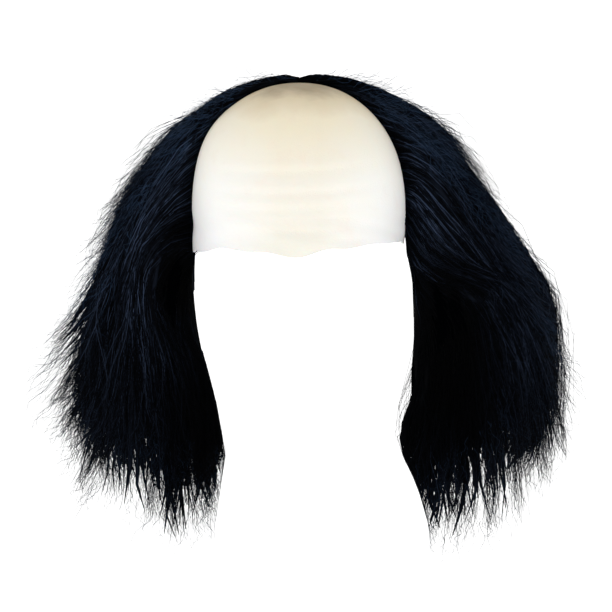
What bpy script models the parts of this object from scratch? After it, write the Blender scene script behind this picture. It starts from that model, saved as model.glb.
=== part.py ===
"""A bald cap wig: a thin latex dome with a mass of long frizzy hair on each side.

Metres, +Z up. The wearer faces -Y. The origin is the head's seat, the highest point
inside the dome, and everything hangs below it. The dome and both hair masses share
one way of measuring: an angle round the head, 0 straight behind, 90 at +X and 180 at
the forehead, and a level down it.
"""

import math
from typing import NamedTuple

import bmesh
import bpy

# Sizes of the latex dome
CAP_WIDTH = 0.1575
CAP_FRONT = 0.0935
CAP_BACK = 0.0985
CAP_HEIGHT = 0.0910
CAP_SKIRT = 0.0295
LATEX = 0.0015
APEX_BACK = 0.0050

# Sizes of the hair: its thickest bulk beside the cap, its fall below the cap's edge, the
# room between the cap's half width and the neck's, how far back it hangs, and the length
# of the tufts at its end
BULK_LEFT = 0.1100
BULK_RIGHT = 0.1200
FALL_LEFT = 0.1850
FALL_RIGHT = 0.1790
NECK_ROOM_LEFT = 0.00125
NECK_ROOM_RIGHT = 0.00525
HANG_BACK = 0.0920
TUFT_LEFT = 0.0370
TUFT_RIGHT = 0.0400

# Gaps that keep the pieces apart
SCALP_GAP = 0.0009
PARTING_GAP = 0.0006

# Shape of the dome: how round its side view and its plan are, and how its skirt narrows
SIDE_ROUNDNESS = 2.15
PLAN_ROUNDNESS = 2.2
SKIRT_TAPER = 0.020

# The swelling at the dome's left shoulder: height, middle and spread
SWELL_HEIGHT = 0.0030
SWELL_ANGLE = 270.0
SWELL_TURN = 40.0
SWELL_LEVEL = 0.55
SWELL_REACH = 0.22

# The forehead's wrinkles: deepest press, half width, and the share that fades at each end
WRINKLE_DEPTH = 0.0007
WRINKLE_WIDTH = 0.0034
WRINKLE_FADE = 0.35

# How finely the surfaces are divided
CAP_COLUMNS = 48
DOME_ROWS = 18
SKIRT_ROWS = 5
HAIR_COLUMNS = 18
STEPS_PER_SECTION = 2
TUFT_COLUMNS = 6

# Locks in the hair's outer face: how many, how deep, and their turn from section to section
LOCKS = 3.5
LOCK_DEPTH = 0.05
LOCK_TURN = 0.11

# Form of the hair's edges: bulk at the hairline, and where the inner wall leaves the cap
HAIRLINE_BULK = 0.10
NECK_LEAVE = 0.10
RAGGED_SHORT = 0.72
TUFT_FADE = 0.4
SHARP_EDGE = 40.0


class Edge(NamedTuple):
    """The cap's cut edge at one angle: depth as a share of the skirt."""

    angle: float
    depth: float


class Wrinkle(NamedTuple):
    """A forehead wrinkle: level, rise to the right and sag as shares of CAP_HEIGHT.

    It runs to reach degrees on each side of the forehead's middle.
    """

    level: float
    rise: float
    sag: float
    reach: float
    strength: float


class Section(NamedTuple):
    """One section of a hair mass, from the crown down.

    cap_front, cap_rear: level on the cap at the front and rear edge, 0 at the crown,
        1 at the cap's widest and 2 at its cut edge.
    fall_front, fall_rear: drop below the cap's edge, as a share of the fall.
    neck: distance of the inner wall from the middle, as a share of the neck's half width.
    out, up: how far the outer face stands off the inner one, as shares of the bulk.
    front, rear: angles of the front and rear edge, 0 behind, 90 at the side.
    square: how flat the inner wall is, 2 is an ellipse.
    rear_bulk: bulk left at the rear edge, as a share.
    """

    cap_front: float
    cap_rear: float
    fall_front: float
    fall_rear: float
    neck: float
    out: float
    up: float
    front: float
    rear: float
    square: float
    rear_bulk: float


class Tuft(NamedTuple):
    """A point of the ragged lower end: across from the neck outwards, drop as a share."""

    across: float
    drop: float


CAP_EDGE = (
    Edge(0, 1.14), Edge(45, 1.10), Edge(90, 0.88), Edge(112, 0.77), Edge(135, 0.73),
    Edge(160, 0.83), Edge(180, 1.01), Edge(200, 0.91), Edge(225, 0.88), Edge(248, 1.00),
    Edge(270, 1.09), Edge(315, 1.12), Edge(360, 1.14),
)

WRINKLES = (
    Wrinkle(0.66, 0.050, 0.050, 62, 0.9),
    Wrinkle(0.83, 0.045, 0.050, 58, 1.0),
    Wrinkle(0.96, 0.050, 0.060, 56, 0.8),
    Wrinkle(1.14, 0.020, 0.030, 34, 0.5),
)

LEFT_SECTIONS = (
    Section(0.06, 0.06, 0.00, 0.00, 1.00, 0.01, 0.05, 88, 2, 2.2, 0.80),
    Section(0.22, 0.22, 0.00, 0.00, 1.00, 0.03, 0.08, 90, 2, 2.2, 0.80),
    Section(0.36, 0.36, 0.00, 0.00, 1.00, 0.09, 0.08, 91, 2, 2.2, 0.75),
    Section(0.50, 0.50, 0.00, 0.00, 1.00, 0.17, 0.09, 93, 2, 2.2, 0.65),
    Section(0.66, 0.66, 0.00, 0.00, 1.00, 0.29, 0.10, 94, 2, 2.2, 0.50),
    Section(0.83, 0.83, 0.00, 0.00, 1.00, 0.47, 0.04, 96, 2, 2.2, 0.40),
    Section(1.00, 1.00, 0.00, 0.00, 1.00, 0.60, -0.01, 97, 2, 2.2, 0.30),
    Section(1.60, 1.60, 0.00, 0.00, 1.00, 0.70, -0.02, 99, 12, 2.2, 0.26),
    Section(2.00, 1.92, 0.06, 0.00, 1.04, 0.72, -0.12, 103, 27, 3.0, 0.30),
    Section(2.00, 2.00, 0.18, 0.02, 1.08, 0.76, -0.20, 108, 43, 4.0, 0.36),
    Section(2.00, 2.00, 0.36, 0.10, 1.04, 0.95, -0.18, 110, 50, 6.0, 0.40),
    Section(2.00, 2.00, 0.44, 0.32, 0.99, 0.88, -0.10, 111, 49, 8.0, 0.32),
    Section(2.00, 2.00, 0.53, 0.48, 0.92, 0.97, -0.08, 112, 48, 8.0, 0.32),
    Section(2.00, 2.00, 0.62, 0.60, 0.85, 1.05, -0.07, 113, 48, 8.0, 0.32),
    Section(2.00, 2.00, 0.72, 0.70, 0.80, 0.97, -0.08, 113, 48, 8.0, 0.32),
    Section(2.00, 2.00, 0.80, 0.80, 0.76, 0.92, -0.08, 114, 48, 8.0, 0.32),
    Section(2.00, 2.00, 0.85, 0.85, 0.75, 0.83, 0.00, 114, 48, 8.0, 0.32),
)

RIGHT_SECTIONS = (
    Section(0.06, 0.06, 0.00, 0.00, 1.00, 0.01, 0.05, 88, 2, 2.2, 0.80),
    Section(0.22, 0.22, 0.00, 0.00, 1.00, 0.03, 0.08, 90, 2, 2.2, 0.80),
    Section(0.36, 0.36, 0.00, 0.00, 1.00, 0.08, 0.11, 91, 2, 2.2, 0.75),
    Section(0.50, 0.50, 0.00, 0.00, 1.00, 0.18, 0.14, 93, 2, 2.2, 0.65),
    Section(0.66, 0.66, 0.00, 0.00, 1.00, 0.34, 0.17, 94, 2, 2.2, 0.50),
    Section(0.83, 0.83, 0.00, 0.00, 1.00, 0.47, 0.13, 96, 2, 2.2, 0.40),
    Section(1.00, 1.00, 0.00, 0.00, 1.00, 0.58, 0.11, 97, 2, 2.2, 0.30),
    Section(1.60, 1.60, 0.00, 0.00, 1.00, 0.71, 0.06, 99, 12, 2.2, 0.26),
    Section(2.00, 1.92, 0.06, 0.00, 1.02, 0.76, -0.02, 103, 27, 3.0, 0.30),
    Section(2.00, 2.00, 0.17, 0.02, 1.07, 0.81, -0.10, 108, 43, 4.0, 0.36),
    Section(2.00, 2.00, 0.34, 0.10, 1.09, 0.88, -0.10, 110, 50, 6.0, 0.40),
    Section(2.00, 2.00, 0.47, 0.36, 1.05, 0.86, -0.11, 111, 49, 8.0, 0.32),
    Section(2.00, 2.00, 0.60, 0.54, 1.00, 0.89, -0.15, 112, 48, 8.0, 0.32),
    Section(2.00, 2.00, 0.71, 0.69, 0.96, 0.96, -0.18, 113, 48, 8.0, 0.32),
    Section(2.00, 2.00, 0.80, 0.79, 0.96, 0.84, -0.15, 113, 48, 8.0, 0.32),
    Section(2.00, 2.00, 0.87, 0.87, 1.02, 0.72, -0.06, 114, 48, 8.0, 0.32),
)

LEFT_TUFTS = (
    Tuft(0.00, 0.00), Tuft(0.10, 0.72), Tuft(0.25, 1.10), Tuft(0.36, 1.62),
    Tuft(0.48, 0.95), Tuft(0.65, 1.00), Tuft(0.82, 0.70), Tuft(0.90, 0.06), Tuft(1.00, 0.10),
)

RIGHT_TUFTS = (
    Tuft(0.00, 0.00), Tuft(0.10, 0.45), Tuft(0.24, 1.18), Tuft(0.38, 1.12), Tuft(0.54, 0.48),
    Tuft(0.71, 1.12), Tuft(0.82, 0.60), Tuft(0.92, 0.15), Tuft(1.00, 0.05),
)


def mix(low, high, share):
    """The value a share of the way from low to high."""
    return low + (high - low) * share


def ease(share):
    """A share from 0 to 1 that starts and ends gently."""
    share = min(max(share, 0.0), 1.0)
    return share * share * (3.0 - 2.0 * share)


def smooth_read(rows, key, value, at):
    """Read a table's value between two rows, easing from one to the next."""
    for low, high in zip(rows, rows[1:]):
        if at <= getattr(high, key):
            span = getattr(high, key) - getattr(low, key)
            share = (at - getattr(low, key)) / span
            return mix(getattr(low, value), getattr(high, value), ease(share))
    return getattr(rows[-1], value)


def ring_point(angle, half_width, front, back, square):
    """A point on a rounded plan outline, by its angle in degrees from straight behind."""
    side, rear = math.sin(math.radians(angle)), math.cos(math.radians(angle))
    reach = (abs(side) ** square + abs(rear) ** square) ** (-1.0 / square)
    depth = back if rear > 0.0 else front
    return half_width * reach * side, depth * reach * rear


def dome_profile(level):
    """Share of the full width at a level of the dome, and share of its height above it."""
    drop = 1.0 - math.cos(0.5 * math.pi * min(level, 1.0))
    width = (1.0 - (1.0 - drop) ** SIDE_ROUNDNESS) ** (1.0 / SIDE_ROUNDNESS)
    return width, 1.0 - drop


def edge_depth(angle):
    """How far the cut edge lies below the cap's widest level at this angle."""
    return CAP_SKIRT * smooth_read(CAP_EDGE, "angle", "depth", angle % 360.0)


def wrinkle_depth(angle, height):
    """How far the forehead's wrinkles press the latex in at this place."""
    across = (angle % 360.0 - 180.0) / 90.0
    total = 0.0
    for fold in WRINKLES:
        off = abs(across) * 90.0 / fold.reach
        if off < 1.0:
            level = fold.level + fold.rise * across - fold.sag * off * off
            gap = (height + CAP_HEIGHT * level) / WRINKLE_WIDTH
            total += fold.strength * math.exp(-gap * gap) * ease((1.0 - off) / WRINKLE_FADE)
    return WRINKLE_DEPTH * total


def shoulder_swell(angle, level):
    """The dome's left shoulder, which stands out a little near the hairline."""
    turn = (angle % 360.0 - SWELL_ANGLE) / SWELL_TURN
    down = (level - SWELL_LEVEL) / SWELL_REACH
    return SWELL_HEIGHT * math.exp(-turn * turn - down * down)


def cap_point(angle, level, outward):
    """A point of the dome, pushed outward from its inner face.

    The level is 0 at the crown, 1 at the widest and 2 at the cut edge. The rings move
    forward as they widen, because the crown lies behind the middle of the head.
    """
    width, height = dome_profile(level)
    below = max(level - 1.0, 0.0) * edge_depth(angle)
    swell = shoulder_swell(angle, level) - SKIRT_TAPER * below
    z = height * (CAP_HEIGHT + outward) - CAP_HEIGHT - below
    swell -= wrinkle_depth(angle, z)
    inset = outward - LATEX + swell
    x, y = ring_point(angle, CAP_WIDTH / 2 + inset, CAP_FRONT + inset, CAP_BACK + inset,
                      PLAN_ROUNDNESS)
    return x * width, (y - APEX_BACK) * width, z


def blended(sections, row):
    """The section table read between its rows, as one Section."""
    low = min(int(row), len(sections) - 2)
    share = row - low
    return Section(*(mix(a, b, share) for a, b in zip(sections[low], sections[low + 1])))


class HairSide(NamedTuple):
    """Everything that sets one hair mass apart from the other."""

    name: str
    sign: float
    sections: tuple
    tufts: tuple
    bulk: float
    fall: float
    neck_half: float
    tuft: float


def inner_point(side, cut, share):
    """A point of the face towards the head, which follows the cap and then the neck."""
    turn = mix(cut.front, cut.rear, share)
    angle = turn if side.sign > 0 else 360.0 - turn
    level = mix(cut.cap_front, cut.cap_rear, ease(share))
    x, y, z = cap_point(angle, level, LATEX + SCALP_GAP)
    hang = mix(cut.fall_front, cut.fall_rear, ease(share))
    if hang > 0.0:
        leave = ease(hang / NECK_LEAVE)
        neck_x, neck_y = ring_point(angle, side.neck_half * cut.neck, CAP_FRONT, HANG_BACK,
                                    cut.square)
        x = mix(x, neck_x, leave)
        y = mix(y, neck_y - APEX_BACK, leave)
        z -= hang * side.fall
    return x, y, z, angle


def hair_point(side, row, share, depth):
    """A point in the hair: row down the sections, share front to rear, depth outward."""
    cut = blended(side.sections, row)
    x, y, z, angle = inner_point(side, cut, share)
    swell = math.sqrt(max(math.sin(math.pi * share), 0.0))
    floor = mix(HAIRLINE_BULK, cut.rear_bulk, ease(share))
    thick = mix(floor, 1.0, swell) if share < 0.5 else max(swell, floor)
    thin_rear = mix(1.0, cut.rear_bulk, ease(2.0 * share - 1.0))
    locks = 1.0 + LOCK_DEPTH * math.cos(2.0 * math.pi * (LOCKS * share + LOCK_TURN * row))
    stand = side.bulk * thick * thin_rear * depth * mix(1.0, locks, depth)
    heading = math.radians(angle)
    x += math.sin(heading) * cut.out * stand + side.sign * PARTING_GAP / 2
    y += math.cos(heading) * cut.out * stand
    return x, y, z + cut.up * stand


def add_object(name, points, faces, material):
    """Make one closed, smooth-shaded mesh object."""
    shape = bmesh.new()
    corners = [shape.verts.new(point) for point in points]
    for face in faces:
        shape.faces.new([corners[index] for index in face])
    bmesh.ops.recalc_face_normals(shape, faces=shape.faces)
    mesh = bpy.data.meshes.new(name)
    shape.to_mesh(mesh)
    shape.free()
    mesh.shade_smooth()
    mesh.set_sharp_from_angle(angle=math.radians(SHARP_EDGE))
    mesh.materials.append(material)
    piece = bpy.data.objects.new(name, mesh)
    bpy.context.scene.collection.objects.link(piece)
    return piece


def make_material(name, colour, roughness):
    """A plain finish with no metal in it."""
    material = bpy.data.materials.new(name)
    material.use_nodes = True
    shader = material.node_tree.nodes["Principled BSDF"]
    shader.inputs["Base Color"].default_value = (*colour, 1.0)
    shader.inputs["Roughness"].default_value = roughness
    shader.inputs["Metallic"].default_value = 0.0
    return material


def cap_levels():
    """Levels of the dome's rows, below the crown's single point."""
    dome = [row / DOME_ROWS for row in range(1, DOME_ROWS + 1)]
    skirt = [1.0 + row / SKIRT_ROWS for row in range(1, SKIRT_ROWS + 1)]
    return dome + skirt


def build_cap(material):
    """The dome: an outer and an inner skin, each a crown fan and rings, joined at the edge."""
    points, faces = [], []
    levels = cap_levels()
    for outward in (LATEX, 0.0):
        points.append(cap_point(0.0, 0.0, outward))
        for level in levels:
            for column in range(CAP_COLUMNS):
                points.append(cap_point(360.0 * column / CAP_COLUMNS, level, outward))
    skin = 1 + len(levels) * CAP_COLUMNS

    def ring(which, row, column):
        return which * skin + 1 + row * CAP_COLUMNS + column % CAP_COLUMNS

    last = len(levels) - 1
    for column in range(CAP_COLUMNS):
        for which in (0, 1):
            faces.append((which * skin, ring(which, 0, column), ring(which, 0, column + 1)))
            for row in range(last):
                faces.append((ring(which, row, column), ring(which, row + 1, column),
                              ring(which, row + 1, column + 1), ring(which, row, column + 1)))
        faces.append((ring(0, last, column), ring(1, last, column),
                      ring(1, last, column + 1), ring(0, last, column + 1)))
    return add_object("bald_cap", points, faces, material)


def tuft_drop(side, share, across):
    """How far the ragged end hangs below the last section."""
    drop = smooth_read(side.tufts, "across", "drop", across)
    fade = max(math.sin(math.pi * share), 0.0) ** TUFT_FADE
    return side.tuft * drop * fade


def build_hair(side, material):
    """One hair mass: closed sections joined down its length, with tufts across its end."""
    points, faces = [], []
    count = (len(side.sections) - 1) * STEPS_PER_SECTION + 1
    loop = 2 * (HAIR_COLUMNS + 1)
    for step in range(count):
        row = step / STEPS_PER_SECTION
        for column in range(HAIR_COLUMNS + 1):
            points.append(hair_point(side, row, column / HAIR_COLUMNS, 1.0))
        for column in range(HAIR_COLUMNS, -1, -1):
            points.append(hair_point(side, row, column / HAIR_COLUMNS, 0.0))
    for step in range(count - 1):
        for index in range(loop):
            after = (index + 1) % loop
            faces.append((step * loop + index, step * loop + after,
                          (step + 1) * loop + after, (step + 1) * loop + index))

    def closing(step, drops):
        """A grid of points across one end, from the inner to the outer face."""
        columns = []
        for column in range(HAIR_COLUMNS + 1):
            share = column / HAIR_COLUMNS
            line = [step * loop + loop - 1 - column]
            for across in range(1, TUFT_COLUMNS):
                depth = across / TUFT_COLUMNS
                x, y, z = hair_point(side, step / STEPS_PER_SECTION, share, depth)
                sag = tuft_drop(side, share, depth) if drops else 0.0
                ragged = RAGGED_SHORT if (column + across) % 2 else 1.0
                line.append(len(points))
                points.append((x, y, z - sag * ragged))
            line.append(step * loop + column)
            columns.append(line)
        for left, right in zip(columns, columns[1:]):
            for across in range(TUFT_COLUMNS):
                faces.append((left[across], right[across], right[across + 1], left[across + 1]))
        for line in (columns[0], columns[-1]):
            faces.append(line)

    closing(0, False)
    closing(count - 1, True)
    return add_object(side.name, points, faces, material)


def main():
    """Clear the scene and build the three pieces."""
    for old in list(bpy.data.objects):
        bpy.data.objects.remove(old, do_unlink=True)
    latex = make_material("latex", (0.86, 0.80, 0.68), 0.55)
    hair = make_material("hair", (0.006, 0.008, 0.014), 0.45)
    left = HairSide("hair_left", -1.0, LEFT_SECTIONS, LEFT_TUFTS, BULK_LEFT, FALL_LEFT,
                    CAP_WIDTH / 2 + NECK_ROOM_LEFT, TUFT_LEFT)
    right = HairSide("hair_right", 1.0, RIGHT_SECTIONS, RIGHT_TUFTS, BULK_RIGHT, FALL_RIGHT,
                     CAP_WIDTH / 2 + NECK_ROOM_RIGHT, TUFT_RIGHT)
    build_cap(latex)
    build_hair(left, hair)
    build_hair(right, hair)


if __name__ == "__main__":
    main()
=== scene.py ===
"""Looks for the bald cap wig: a fine latex dome and two masses of long combed hair.

Sizes are in metres, in the frame of the solids: +Z up, the front faces -Y, and the
origin is the highest point inside the dome. A place round the dome is an angle, 0
straight behind, 90 at +X and 180 straight ahead.
"""

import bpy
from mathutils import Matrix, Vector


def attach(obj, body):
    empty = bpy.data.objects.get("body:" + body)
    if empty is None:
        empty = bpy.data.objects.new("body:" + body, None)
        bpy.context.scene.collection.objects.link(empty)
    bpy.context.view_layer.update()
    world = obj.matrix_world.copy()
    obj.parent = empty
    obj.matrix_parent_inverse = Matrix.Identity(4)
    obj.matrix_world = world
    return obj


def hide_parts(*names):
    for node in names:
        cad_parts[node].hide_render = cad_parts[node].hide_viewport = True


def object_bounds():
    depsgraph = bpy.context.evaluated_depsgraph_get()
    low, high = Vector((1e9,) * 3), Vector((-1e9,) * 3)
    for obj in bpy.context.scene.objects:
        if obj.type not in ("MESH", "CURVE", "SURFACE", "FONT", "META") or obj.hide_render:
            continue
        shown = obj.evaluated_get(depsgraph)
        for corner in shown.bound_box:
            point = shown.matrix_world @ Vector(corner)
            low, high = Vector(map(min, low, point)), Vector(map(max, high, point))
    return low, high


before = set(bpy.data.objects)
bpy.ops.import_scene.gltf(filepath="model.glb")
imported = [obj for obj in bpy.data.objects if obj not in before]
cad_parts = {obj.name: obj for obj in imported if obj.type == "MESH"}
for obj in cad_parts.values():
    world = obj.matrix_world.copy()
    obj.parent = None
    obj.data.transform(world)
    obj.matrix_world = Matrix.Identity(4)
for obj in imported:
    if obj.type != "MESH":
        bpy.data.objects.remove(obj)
CAD_BOX = [list(map(float, corner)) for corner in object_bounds()]

import logging
import math
from dataclasses import dataclass, field
from enum import Enum
from typing import Sequence

import bpy
import numpy as np
from mathutils import Vector

Table = tuple[tuple[float, ...], ...]
Combing = tuple[tuple[tuple[float, float], ...], ...]

LOG = logging.getLogger("bald_cap_wig")
MILLIMETRE = 0.001
TURN = 2.0 * math.pi

# The least length and tilt that still give a direction
NO_LENGTH = 1e-12
NO_TILT = 1e-9

# How far loose hair may leave the solids' box, and what the rest of its way is divided by
LOOSE_MARGIN = 0.012
LOOSE_PULL = 7.0

# Corners of a strand's section and of a lock's
STRAND_CORNERS = 3
LOCK_CORNERS = 6

# The range that most values of a noise pattern lie in
NOISE_LOW = 0.3
NOISE_HIGH = 0.7


class Side(Enum):
    """The side of the dome that a hair mass hangs on, as the sign of its X."""

    LEFT = -1.0
    RIGHT = 1.0


class Slot(Enum):
    """The record's material slots."""

    LATEX = "latex"
    HAIR = "hair"


def mix(low: np.ndarray, high: np.ndarray, share: np.ndarray) -> np.ndarray:
    """Go a share of the way from low to high: low plus the difference times the share."""
    return low + (high - low) * share


def ease(share: np.ndarray) -> np.ndarray:
    """Smooth step: three times the square less twice the cube, held to 0 and 1."""
    held = np.clip(share, 0.0, 1.0)
    return held * held * (3.0 - 2.0 * held)


def unit(vectors: np.ndarray) -> np.ndarray:
    """Each vector divided by its own length."""
    return vectors / np.maximum(np.linalg.norm(vectors, axis=-1, keepdims=True), NO_LENGTH)


def late(share: np.ndarray, start: float) -> np.ndarray:
    """Nothing up to the start, then a smooth step to 1 at the end of a strand."""
    return ease((share - start) / (1.0 - start))


def waves(table: Table, first: np.ndarray, second: np.ndarray) -> np.ndarray:
    """Add sine waves that run over two values.

    Args:
        table: a row for each wave: its weight, its radians for each unit of the first
            value and of the second, and its phase.
        first: the first value.
        second: the second value.

    Returns:
        The sum of weight times sine, in the shape that the values broadcast to.
    """
    return sum(weight * np.sin(over * first + down * second + phase)
               for weight, over, down, phase in table)


def cubic(before: np.ndarray, low: np.ndarray, high: np.ndarray, after: np.ndarray,
          share: np.ndarray) -> np.ndarray:
    """Catmull-Rom curve between low and high, shaped by the values on both sides.

    Args:
        before: values one step before low.
        low: values at share 0.
        high: values at share 1.
        after: values one step after high.
        share: place between low and high.

    Returns:
        The curve's values.
    """
    first = high - before
    second = 2.0 * before - 5.0 * low + 4.0 * high - after
    third = 3.0 * low - before - 3.0 * high + after
    return 0.5 * (2.0 * low + first * share + second * share**2 + third * share**3)


def read_rows(rows: np.ndarray, at: np.ndarray) -> np.ndarray:
    """Read a table between its rows along a Catmull-Rom curve.

    Args:
        rows: the table, one row per step, shape (rows, columns).
        at: places in row numbers, of any shape.

    Returns:
        The values, in the shape of at with the columns last.
    """
    last = len(rows) - 1
    held = np.clip(at, 0.0, last)
    low = np.minimum(held.astype(int), last - 1)
    share = (held - low)[..., None]
    return cubic(rows[np.maximum(low - 1, 0)], rows[low], rows[low + 1],
                 rows[np.minimum(low + 2, last)], share)


def read_along(controls: np.ndarray, at: np.ndarray) -> np.ndarray:
    """Read each line's own control points along a Catmull-Rom curve.

    Args:
        controls: shape (lines, points, 3).
        at: shares along each line, shape (lines, samples).

    Returns:
        Points of shape (lines, samples, 3).
    """
    last = controls.shape[1] - 1
    held = np.clip(at, 0.0, 1.0) * last
    low = np.minimum(held.astype(int), last - 1)
    share = (held - low)[..., None]

    def pick(index: np.ndarray) -> np.ndarray:
        """The control points at these numbers."""
        return np.take_along_axis(controls, np.clip(index, 0, last)[..., None], axis=1)

    return cubic(pick(low - 1), pick(low), pick(low + 1), pick(low + 2), share)


@dataclass(frozen=True)
class FrontView:
    """The camera's place, and how the object is seen from it.

    A point is seen at its offset across and up the view, times the distance over its own
    depth. Heights are measured from the dome's outer top.
    """

    distance: float = 4.5
    elevation: float = 4.0
    aim: tuple[float, float, float] = (0.0052, 0.0, -0.1636)
    focal: float = 357.7
    sensor: float = 36.0
    top: tuple[float, float, float] = (0.0, 0.0, 0.0015)

    def axes(self) -> tuple[np.ndarray, np.ndarray, np.ndarray]:
        """Where the camera is and how it is turned.

        Returns:
            Its place, its line of sight and its up direction.
        """
        tilt = math.radians(self.elevation)
        ahead = np.array([0.0, math.cos(tilt), -math.sin(tilt)])
        upward = np.array([0.0, math.sin(tilt), math.cos(tilt)])
        return np.array(self.aim) - self.distance * ahead, ahead, upward

    def seen(self, points: np.ndarray) -> np.ndarray:
        """Where points are seen.

        Args:
            points: shape (..., 3).

        Returns:
            Metres across from the middle and up from the dome's top, shape (..., 2).
        """
        eye, ahead, upward = self.axes()
        eye = eye * np.array([0.0, 1.0, 1.0])

        def flat(places: np.ndarray) -> np.ndarray:
            """Perspective on the plane through the aim.

            Args:
                places: shape (..., 3).

            Returns:
                Metres across and up, shape (..., 2).
            """
            offset = places - eye
            depth = offset @ ahead
            return np.stack([offset[..., 0], offset @ upward], -1) * (
                self.distance / depth[..., None])

        return flat(points) - flat(np.array(self.top))


VIEW = FrontView()


@dataclass(frozen=True)
class Dome:
    """The latex dome's form, from the same sizes as its solid."""

    width: float = 0.1575
    front: float = 0.0935
    back: float = 0.0985
    height: float = 0.0910
    skirt: float = 0.0295
    wall: float = 0.0015
    apex_back: float = 0.0050
    side_roundness: float = 2.15
    plan_roundness: float = 2.2
    taper: float = 0.020
    swell: float = 0.0030
    swell_angle: float = 270.0
    swell_angle_half: float = 40.0
    swell_level: float = 0.55
    swell_level_half: float = 0.22
    edge_angles: tuple[float, ...] = (0, 45, 90, 112, 135, 160, 180, 200, 225, 248, 270,
                                      315, 360)
    edge_depths: tuple[float, ...] = (1.04, 1.00, 0.86, 0.77, 0.74, 0.84, 1.03, 0.92, 0.88,
                                      1.00, 1.09, 1.04, 1.04)

    def ring(self, angle: np.ndarray, half: np.ndarray, front: np.ndarray,
             back: np.ndarray, square: np.ndarray) -> tuple[np.ndarray, np.ndarray]:
        """Rounded plan outline: |sine|^n plus |cosine|^n, to the power -1/n, is the reach.

        Args:
            angle: degrees from straight behind.
            half: half width.
            front: depth ahead of the middle.
            back: depth behind it.
            square: the power n, 2 for an ellipse.

        Returns:
            X and Y on the outline.
        """
        side, rear = np.sin(np.radians(angle)), np.cos(np.radians(angle))
        reach = (np.abs(side)**square + np.abs(rear)**square)**(-1.0 / square)
        depth = np.where(rear > 0.0, back, front)
        return half * reach * side, depth * reach * rear

    def edge(self, angle: np.ndarray) -> np.ndarray:
        """Depth of the cut edge below the widest level, eased between the table's angles.

        Args:
            angle: degrees round the dome.

        Returns:
            The depths, in metres.
        """
        angles, depths = np.array(self.edge_angles), np.array(self.edge_depths)
        turn = angle % 360.0
        low = np.clip(np.searchsorted(angles, turn, side="right") - 1, 0, len(angles) - 2)
        share = (turn - angles[low]) / (angles[low + 1] - angles[low])
        return self.skirt * mix(depths[low], depths[low + 1], ease(share))

    def point(self, angle: np.ndarray, level: np.ndarray, outward: np.ndarray) -> np.ndarray:
        """A point of the dome, pushed outward from its inner face.

        Down to level 1 the height falls as a cosine and the width is a rounded power of
        it. From 1 to 2 the wall drops straight to the cut edge and narrows a little. A bell
        curve of angle and level swells the -X side.

        Args:
            angle: degrees round the dome.
            level: 0 at the crown, 1 at the widest, 2 at the cut edge.
            outward: distance from the inner face.

        Returns:
            Points, shape (..., 3).
        """
        height = np.cos(0.5 * math.pi * np.minimum(level, 1.0))
        width = (1.0 - height**self.side_roundness)**(1.0 / self.side_roundness)
        below = np.maximum(level - 1.0, 0.0) * self.edge(angle)
        turn = (angle % 360.0 - self.swell_angle) / self.swell_angle_half
        drop = (level - self.swell_level) / self.swell_level_half
        swell = self.swell * np.exp(-turn**2 - drop**2)
        inset = outward - self.wall + swell - self.taper * below
        x, y = self.ring(angle, self.width / 2 + inset, self.front + inset,
                         self.back + inset, self.plan_roundness)
        z = height * (self.height + outward) - self.height - below
        return np.stack([x * width, (y - self.apex_back) * width, z], -1)


DOME = Dome()

# The columns of a mass's sections, at its front edge and at the parting behind: the level
# on the dome, and the fall below it as a share of the mass's fall. Then a factor on the
# neck's half width, how far the thick part stands out and up as shares of the bulk, the
# angles of the front edge and the parting, the power of the plan outline, and the bulk
# left at the parting.
SECTION_HEAD = ("cap_front", "cap_rear", "fall_front", "fall_rear", "neck", "out", "up",
                "front", "rear", "square", "rear_bulk")

LEFT_SECTIONS = (
    (0.06, 0.06, 0.00, 0.00, 1.00, 0.01, 0.01, 88, 2, 2.2, 0.80),
    (0.22, 0.22, 0.00, 0.00, 1.00, 0.03, 0.01, 90, 2, 2.2, 0.80),
    (0.36, 0.36, 0.00, 0.00, 1.00, 0.09, 0.01, 91, 2, 2.2, 0.75),
    (0.50, 0.50, 0.00, 0.00, 1.00, 0.17, 0.01, 93, 2, 2.2, 0.65),
    (0.66, 0.66, 0.00, 0.00, 1.00, 0.28, 0.01, 94, 2, 2.2, 0.50),
    (0.83, 0.83, 0.00, 0.00, 1.00, 0.46, -0.08, 96, 2, 2.2, 0.40),
    (1.00, 1.00, 0.00, 0.00, 1.00, 0.65, -0.04, 97, 2, 2.2, 0.30),
    (1.60, 1.60, 0.00, 0.00, 1.00, 0.77, -0.02, 99, 12, 2.2, 0.26),
    (2.00, 1.92, 0.06, 0.00, 1.04, 0.80, -0.12, 103, 27, 3.0, 0.30),
    (2.00, 2.00, 0.18, 0.02, 1.08, 0.63, -0.20, 108, 43, 4.0, 0.36),
    (2.00, 2.00, 0.36, 0.10, 1.04, 0.67, -0.18, 110, 50, 6.0, 0.40),
    (2.00, 2.00, 0.44, 0.32, 0.99, 0.76, -0.10, 111, 49, 8.0, 0.32),
    (2.00, 2.00, 0.53, 0.48, 0.92, 0.83, -0.08, 112, 48, 8.0, 0.32),
    (2.00, 2.00, 0.62, 0.60, 0.85, 0.82, -0.07, 113, 48, 8.0, 0.32),
    (2.00, 2.00, 0.72, 0.70, 0.80, 0.69, -0.08, 113, 48, 8.0, 0.32),
    (2.00, 2.00, 0.80, 0.80, 0.76, 0.68, -0.08, 114, 48, 8.0, 0.32),
    (2.00, 2.00, 0.85, 0.85, 0.75, 0.76, 0.00, 114, 48, 8.0, 0.32),
)

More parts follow.
